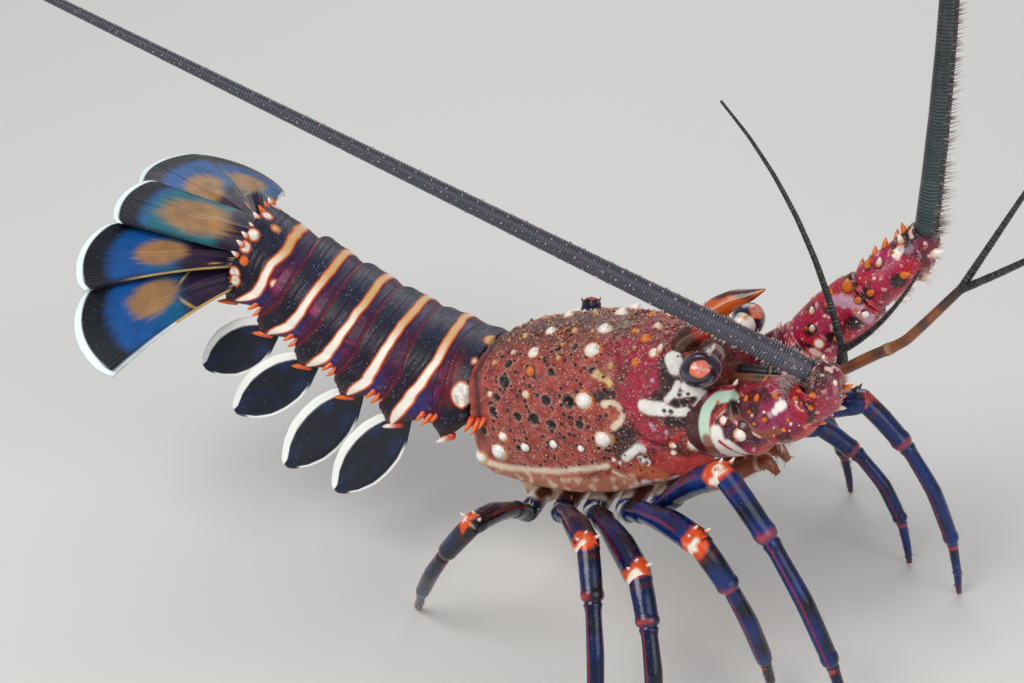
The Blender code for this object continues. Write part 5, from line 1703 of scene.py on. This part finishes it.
# the small feelers between them: a jointed stalk with two thin whips
smallFeelers = {
    "stalk": {
        "right": ((0.90, -0.036, 0.22), (1.08, -0.036, 0.25), (1.26, -0.04, 0.28), (1.34, -0.045, 0.34),
                  (1.47, -0.06, 0.44), (1.60, -0.08, 0.54), (1.78, -0.10, 0.77)),
        "left": ((0.90, 0.036, 0.22), (1.08, 0.036, 0.25), (1.24, 0.036, 0.28), (1.32, 0.038, 0.32),
                 (1.335, 0.042, 0.35), (1.33, 0.045, 0.39)),
    },
    "radii": (0.028, 0.026, 0.023, 0.020, 0.020, 0.018, 0.015),
    # the bow and the tip of each whip
    "whips": {
        "right": (((0.02, 0.0, 0.04), (2.08, -0.08, 1.36)), ((0.04, -0.01, 0.01), (2.45, -0.36, 1.36))),
        "left": (((0.05, 0.0, 0.05), (0.84, 0.12, 1.22)), ((0.02, -0.02, -0.02), (1.62, -0.03, 0.78))),
    },
    "olive": rgb(88, 58, 48),
    "orange": rgb(150, 84, 44),
    "dark": rgb(26, 28, 30),
    "ring": rgb(116, 122, 116),
    "grey": rgb(52, 56, 54),
    "joint": rgb(200, 160, 130),
    "joints": (0.36, 0.66),
    "stalkGrid": (28, 120),
    "around": 12,
    "tooth": 0.0125,  # length of one ring of a whip
}


def makeSmallFeelers():
    c = smallFeelers
    f = Finish("smallFeelerShell", 0.34, coat=0.3, coatRoughness=0.12)
    f.tint(f.clouds(0.001, 0.4, 0.65), 0.35, 0.02, 0.02, 0.02)
    shell = f.wear(f.noise(0.0005, 3.0), 0.0001)
    for name in ("right", "left"):
        stalk = c["stalk"][name]
        path = Path(stalk, c["radii"][:len(stalk)], (0, 1, 0))

        def paint(_, v, place):
            grain = rough(place, 0.005, 3)
            if name == "right":
                colour = blend(c["olive"], c["orange"], 0.8 * step(0.0, 0.6, grain + 0.3))
                colour = blend(colour, c["dark"], 0.85 * step(0.86, 0.95, v))
            else:
                colour = blend(c["dark"], c["grey"], step(-0.3, 0.5, grain))
            for joint in c["joints"]:
                colour = blend(colour, c["joint"], 0.6 * bump(joint, 0.014, v))
            return shaded(colour, 0.0)

        def shape(_, part):
            knees = sum(0.16 * bump(joint, 0.03, part) for joint in c["joints"])
            return 1.0 + knees - 0.1 * bump(0.39, 0.015, part)
        mesh = bmesh.new()
        grow(mesh, path.place(levelFrame, shape), paint, *c["stalkGrid"])
        for order, (bow, tip) in enumerate(c["whips"][name]):
            joint = Vector(stalk[-1])
            way = (Vector(tip) - joint).normalized()
            points = bowed(joint - way * 0.012, tip, bow, [i / 6 for i in range(7)])
            whip = Path(points, [0.014 - 0.009 * i / 6 for i in range(7)], (0, 1, 0))
            count = round(whip.whole / c["tooth"])

            def ringed(_, part):
                tooth = (part * count) % 1.0
                return 0.92 + 0.16 * tooth ** 1.5

            def paintThin(_, v, __):
                tooth = (v * count) % 1.0
                colour = blend(c["dark"], c["ring"], 0.55 * step(0.75, 0.95, tooth))
                return shaded(colour, 0.0)
            if order == 1:
                mesh = bmesh.new()
            grow(mesh, whip.place(levelFrame, ringed), paintThin, c["around"], count * 5)
            piece, node = (("smallFeeler", "antennule"), ("smallWhip", "antennule_inner"))[order]
            finished(mesh, f"{piece}_{name}", shell, "small_feeler_shell", f"{node}_{name}")


makeSmallFeelers()
print("small feelers made")


# mouth parts and the plate between the legs
underside = {
    # x and half width of the breast plate's ends
    "rear": (0.03, 0.155),
    "front": (0.74, 0.095),
    "floor": -0.455,
    "top": -0.20,
    "cap": 0.03,  # share of the rows that closes each end
    "grid": (96, 120),
    "jawGrid": (32, 90),
    "seed": 3,
    "hairs": 130,
    "joints": (0.30, 0.58, 0.78),
    "hairRoot": rgb(150, 90, 50),
    "hairTip": rgb(226, 190, 140),
    "brown": rgb(150, 84, 54),
    "pale": rgb(232, 206, 170),
    "red": rgb(130, 40, 28),
    "jaw": ((0.66, 0.043, -0.42), (0.76, 0.05, -0.43), (0.88, 0.06, -0.40), (0.97, 0.06, -0.36),
            (1.04, 0.055, -0.35), (1.07, 0.05, -0.40)),
    "jawRadii": (0.034, 0.04, 0.036, 0.03, 0.026, 0.012),
}


def makeUnderside():
    c = underside
    f = Finish("undersideShell", 0.4, coat=0.2)
    f.tint(f.clouds(0.0014, 0.4, 0.65, 4.0), 0.4, 0.16, 0.05, 0.03)
    shell = f.wear(f.noise(0.001, 4.0), 0.0002)

    def place(u, v):
        part = inside(v, c["cap"])
        x = c["rear"][0] + (c["front"][0] - c["rear"][0]) * part
        width = c["rear"][1] + (c["front"][1] - c["rear"][1]) * part
        turn = 2 * pi * u
        y, z = cos(turn), sin(turn)
        square = max(abs(y), abs(z))
        y, z = y / square, z / square
        taper = 1.0 if z > 0 else 1 - 0.18 * abs(z)
        height = c["top"] if z > 0 else c["floor"]
        middle = (c["top"] + c["floor"]) / 2
        size = min(1.0, v / c["cap"]) * min(1.0, (1 - v) / c["cap"])
        ribs = 0.008 * cos(2 * pi * part * 5) if z < 0 else 0.0
        z = middle + (height - middle) * abs(z) * size + ribs
        return bodyFrame @ Vector((x, width * taper * y * size, z))

    def paint(_, __, point):
        grain = rough(point, 0.006, 3)
        return shaded(blend(c["pale"], c["brown"], step(-0.3, 0.4, grain)), 0.0)
    grown(place, paint, c["grid"], "breastPlate", shell, "underside_shell", "sternum")
    hairs = bmesh.new()
    chance = random.Random(c["seed"])
    for side, name in sides:
        path = Path([(x, side * y, z) for x, y, z in c["jaw"]], c["jawRadii"], (0, 1, 0))

        def paintJaw(_, v, point, side=side):
            grain = rough(point, 0.004, side)
            colour = blend(c["red"], c["brown"], step(-0.3, 0.4, grain))
            for joint in c["joints"]:
                colour = blend(colour, c["pale"], 0.9 * bump(joint, 0.03, v))
            return shaded(colour, 0.0)

        def jawShape(_, part):
            return 1 - 0.12 * bump(0.32, 0.02, part) - 0.12 * bump(0.60, 0.02, part)
        grown(path.place(bodyFrame, jawShape), paintJaw, c["jawGrid"], f"jawFoot_{name}", shell,
              "underside_shell", f"jaw_foot_{name}")
        for _ in range(c["hairs"]):
            part, turn = chance.uniform(0.4, 1.0), chance.uniform(0, 2 * pi)
            bristle(hairs, bodyFrame, path, part, turn, 0.8, 0.002, chance.uniform(0.015, 0.035),
                    c["hairRoot"], c["hairTip"], 14 if side > 0 else 15)
    finished(hairs, "jawHairs", hornShell, "horn_shell")


makeUnderside()
print("underside made")


# floor, light and camera
studio = {
    "floor": 3.0,
    "floorColour": (0.72, 0.71, 0.69, 1.0),
    "floorRoughness": 0.9,
    "worldColour": (0.86, 0.88, 0.9, 1.0),
    "worldStrength": 0.35,
    "target": (-0.0101, 0.0122, 0.0721),
    "azimuth": 29.81,
    "elevation": 26.99,
    "roll": -3.01,
    "distance": 0.5474,
    "fieldOfView": 28.0,
    # name, place, width and power
    "lights": (("key", (-0.25, -0.75, 0.95), 0.7, 9.0), ("fill", (0.95, -0.35, 0.55), 0.8, 3.5),
               ("rim", (-0.3, 0.9, 0.8), 0.8, 4.0)),
}


def makeStudio():
    s = studio
    mesh = bmesh.new()
    bmesh.ops.create_grid(mesh, x_segments=1, y_segments=1, size=s["floor"])
    data = bpy.data.meshes.new("floor")
    mesh.to_mesh(data)
    mesh.free()
    floor = bpy.data.objects.new("floor", data)
    bpy.context.scene.collection.objects.link(floor)
    surface = bpy.data.materials.new("floorPaper")
    surface.use_nodes = True
    shader = surface.node_tree.nodes["Principled BSDF"]
    shader.inputs["Base Color"].default_value = s["floorColour"]
    shader.inputs["Roughness"].default_value = s["floorRoughness"]
    data.materials.append(surface)
    world = bpy.data.worlds.new("studio")
    world.use_nodes = True
    sky = world.node_tree.nodes["Background"]
    sky.inputs["Color"].default_value = s["worldColour"]
    sky.inputs["Strength"].default_value = s["worldStrength"]
    bpy.context.scene.world = world
    for name, place, size, power in s["lights"]:
        light = bpy.data.lights.new(name, "AREA")
        light.size = size
        light.energy = power
        lamp = bpy.data.objects.new(name, light)
        lamp.location = place
        lamp.rotation_euler = (Vector(s["target"]) - Vector(place)).to_track_quat("-Z", "Y").to_euler()
        bpy.context.scene.collection.objects.link(lamp)
    lens = bpy.data.cameras.new("camera")
    lens.angle = radians(s["fieldOfView"])
    lens.clip_start = 0.01
    lens.dof.use_dof = False
    camera = bpy.data.objects.new("camera", lens)
    azimuth, elevation, roll = radians(s["azimuth"]), radians(s["elevation"]), radians(s["roll"])
    toEye = Vector((sin(azimuth) * cos(elevation), -cos(azimuth) * cos(elevation), sin(elevation)))
    right = Vector((cos(azimuth), sin(azimuth), 0.0))
    up = toEye.cross(right)
    turned = right * cos(roll) + up * sin(roll)
    upright = up * cos(roll) - right * sin(roll)
    camera.matrix_world = Matrix((turned, upright, toEye)).transposed().to_4x4()
    camera.location = Vector(s["target"]) + toEye * s["distance"]
    bpy.context.scene.collection.objects.link(camera)
    bpy.context.scene.camera = camera
    bpy.context.scene.view_settings.view_transform = "Standard"


makeStudio()
print("studio ready")
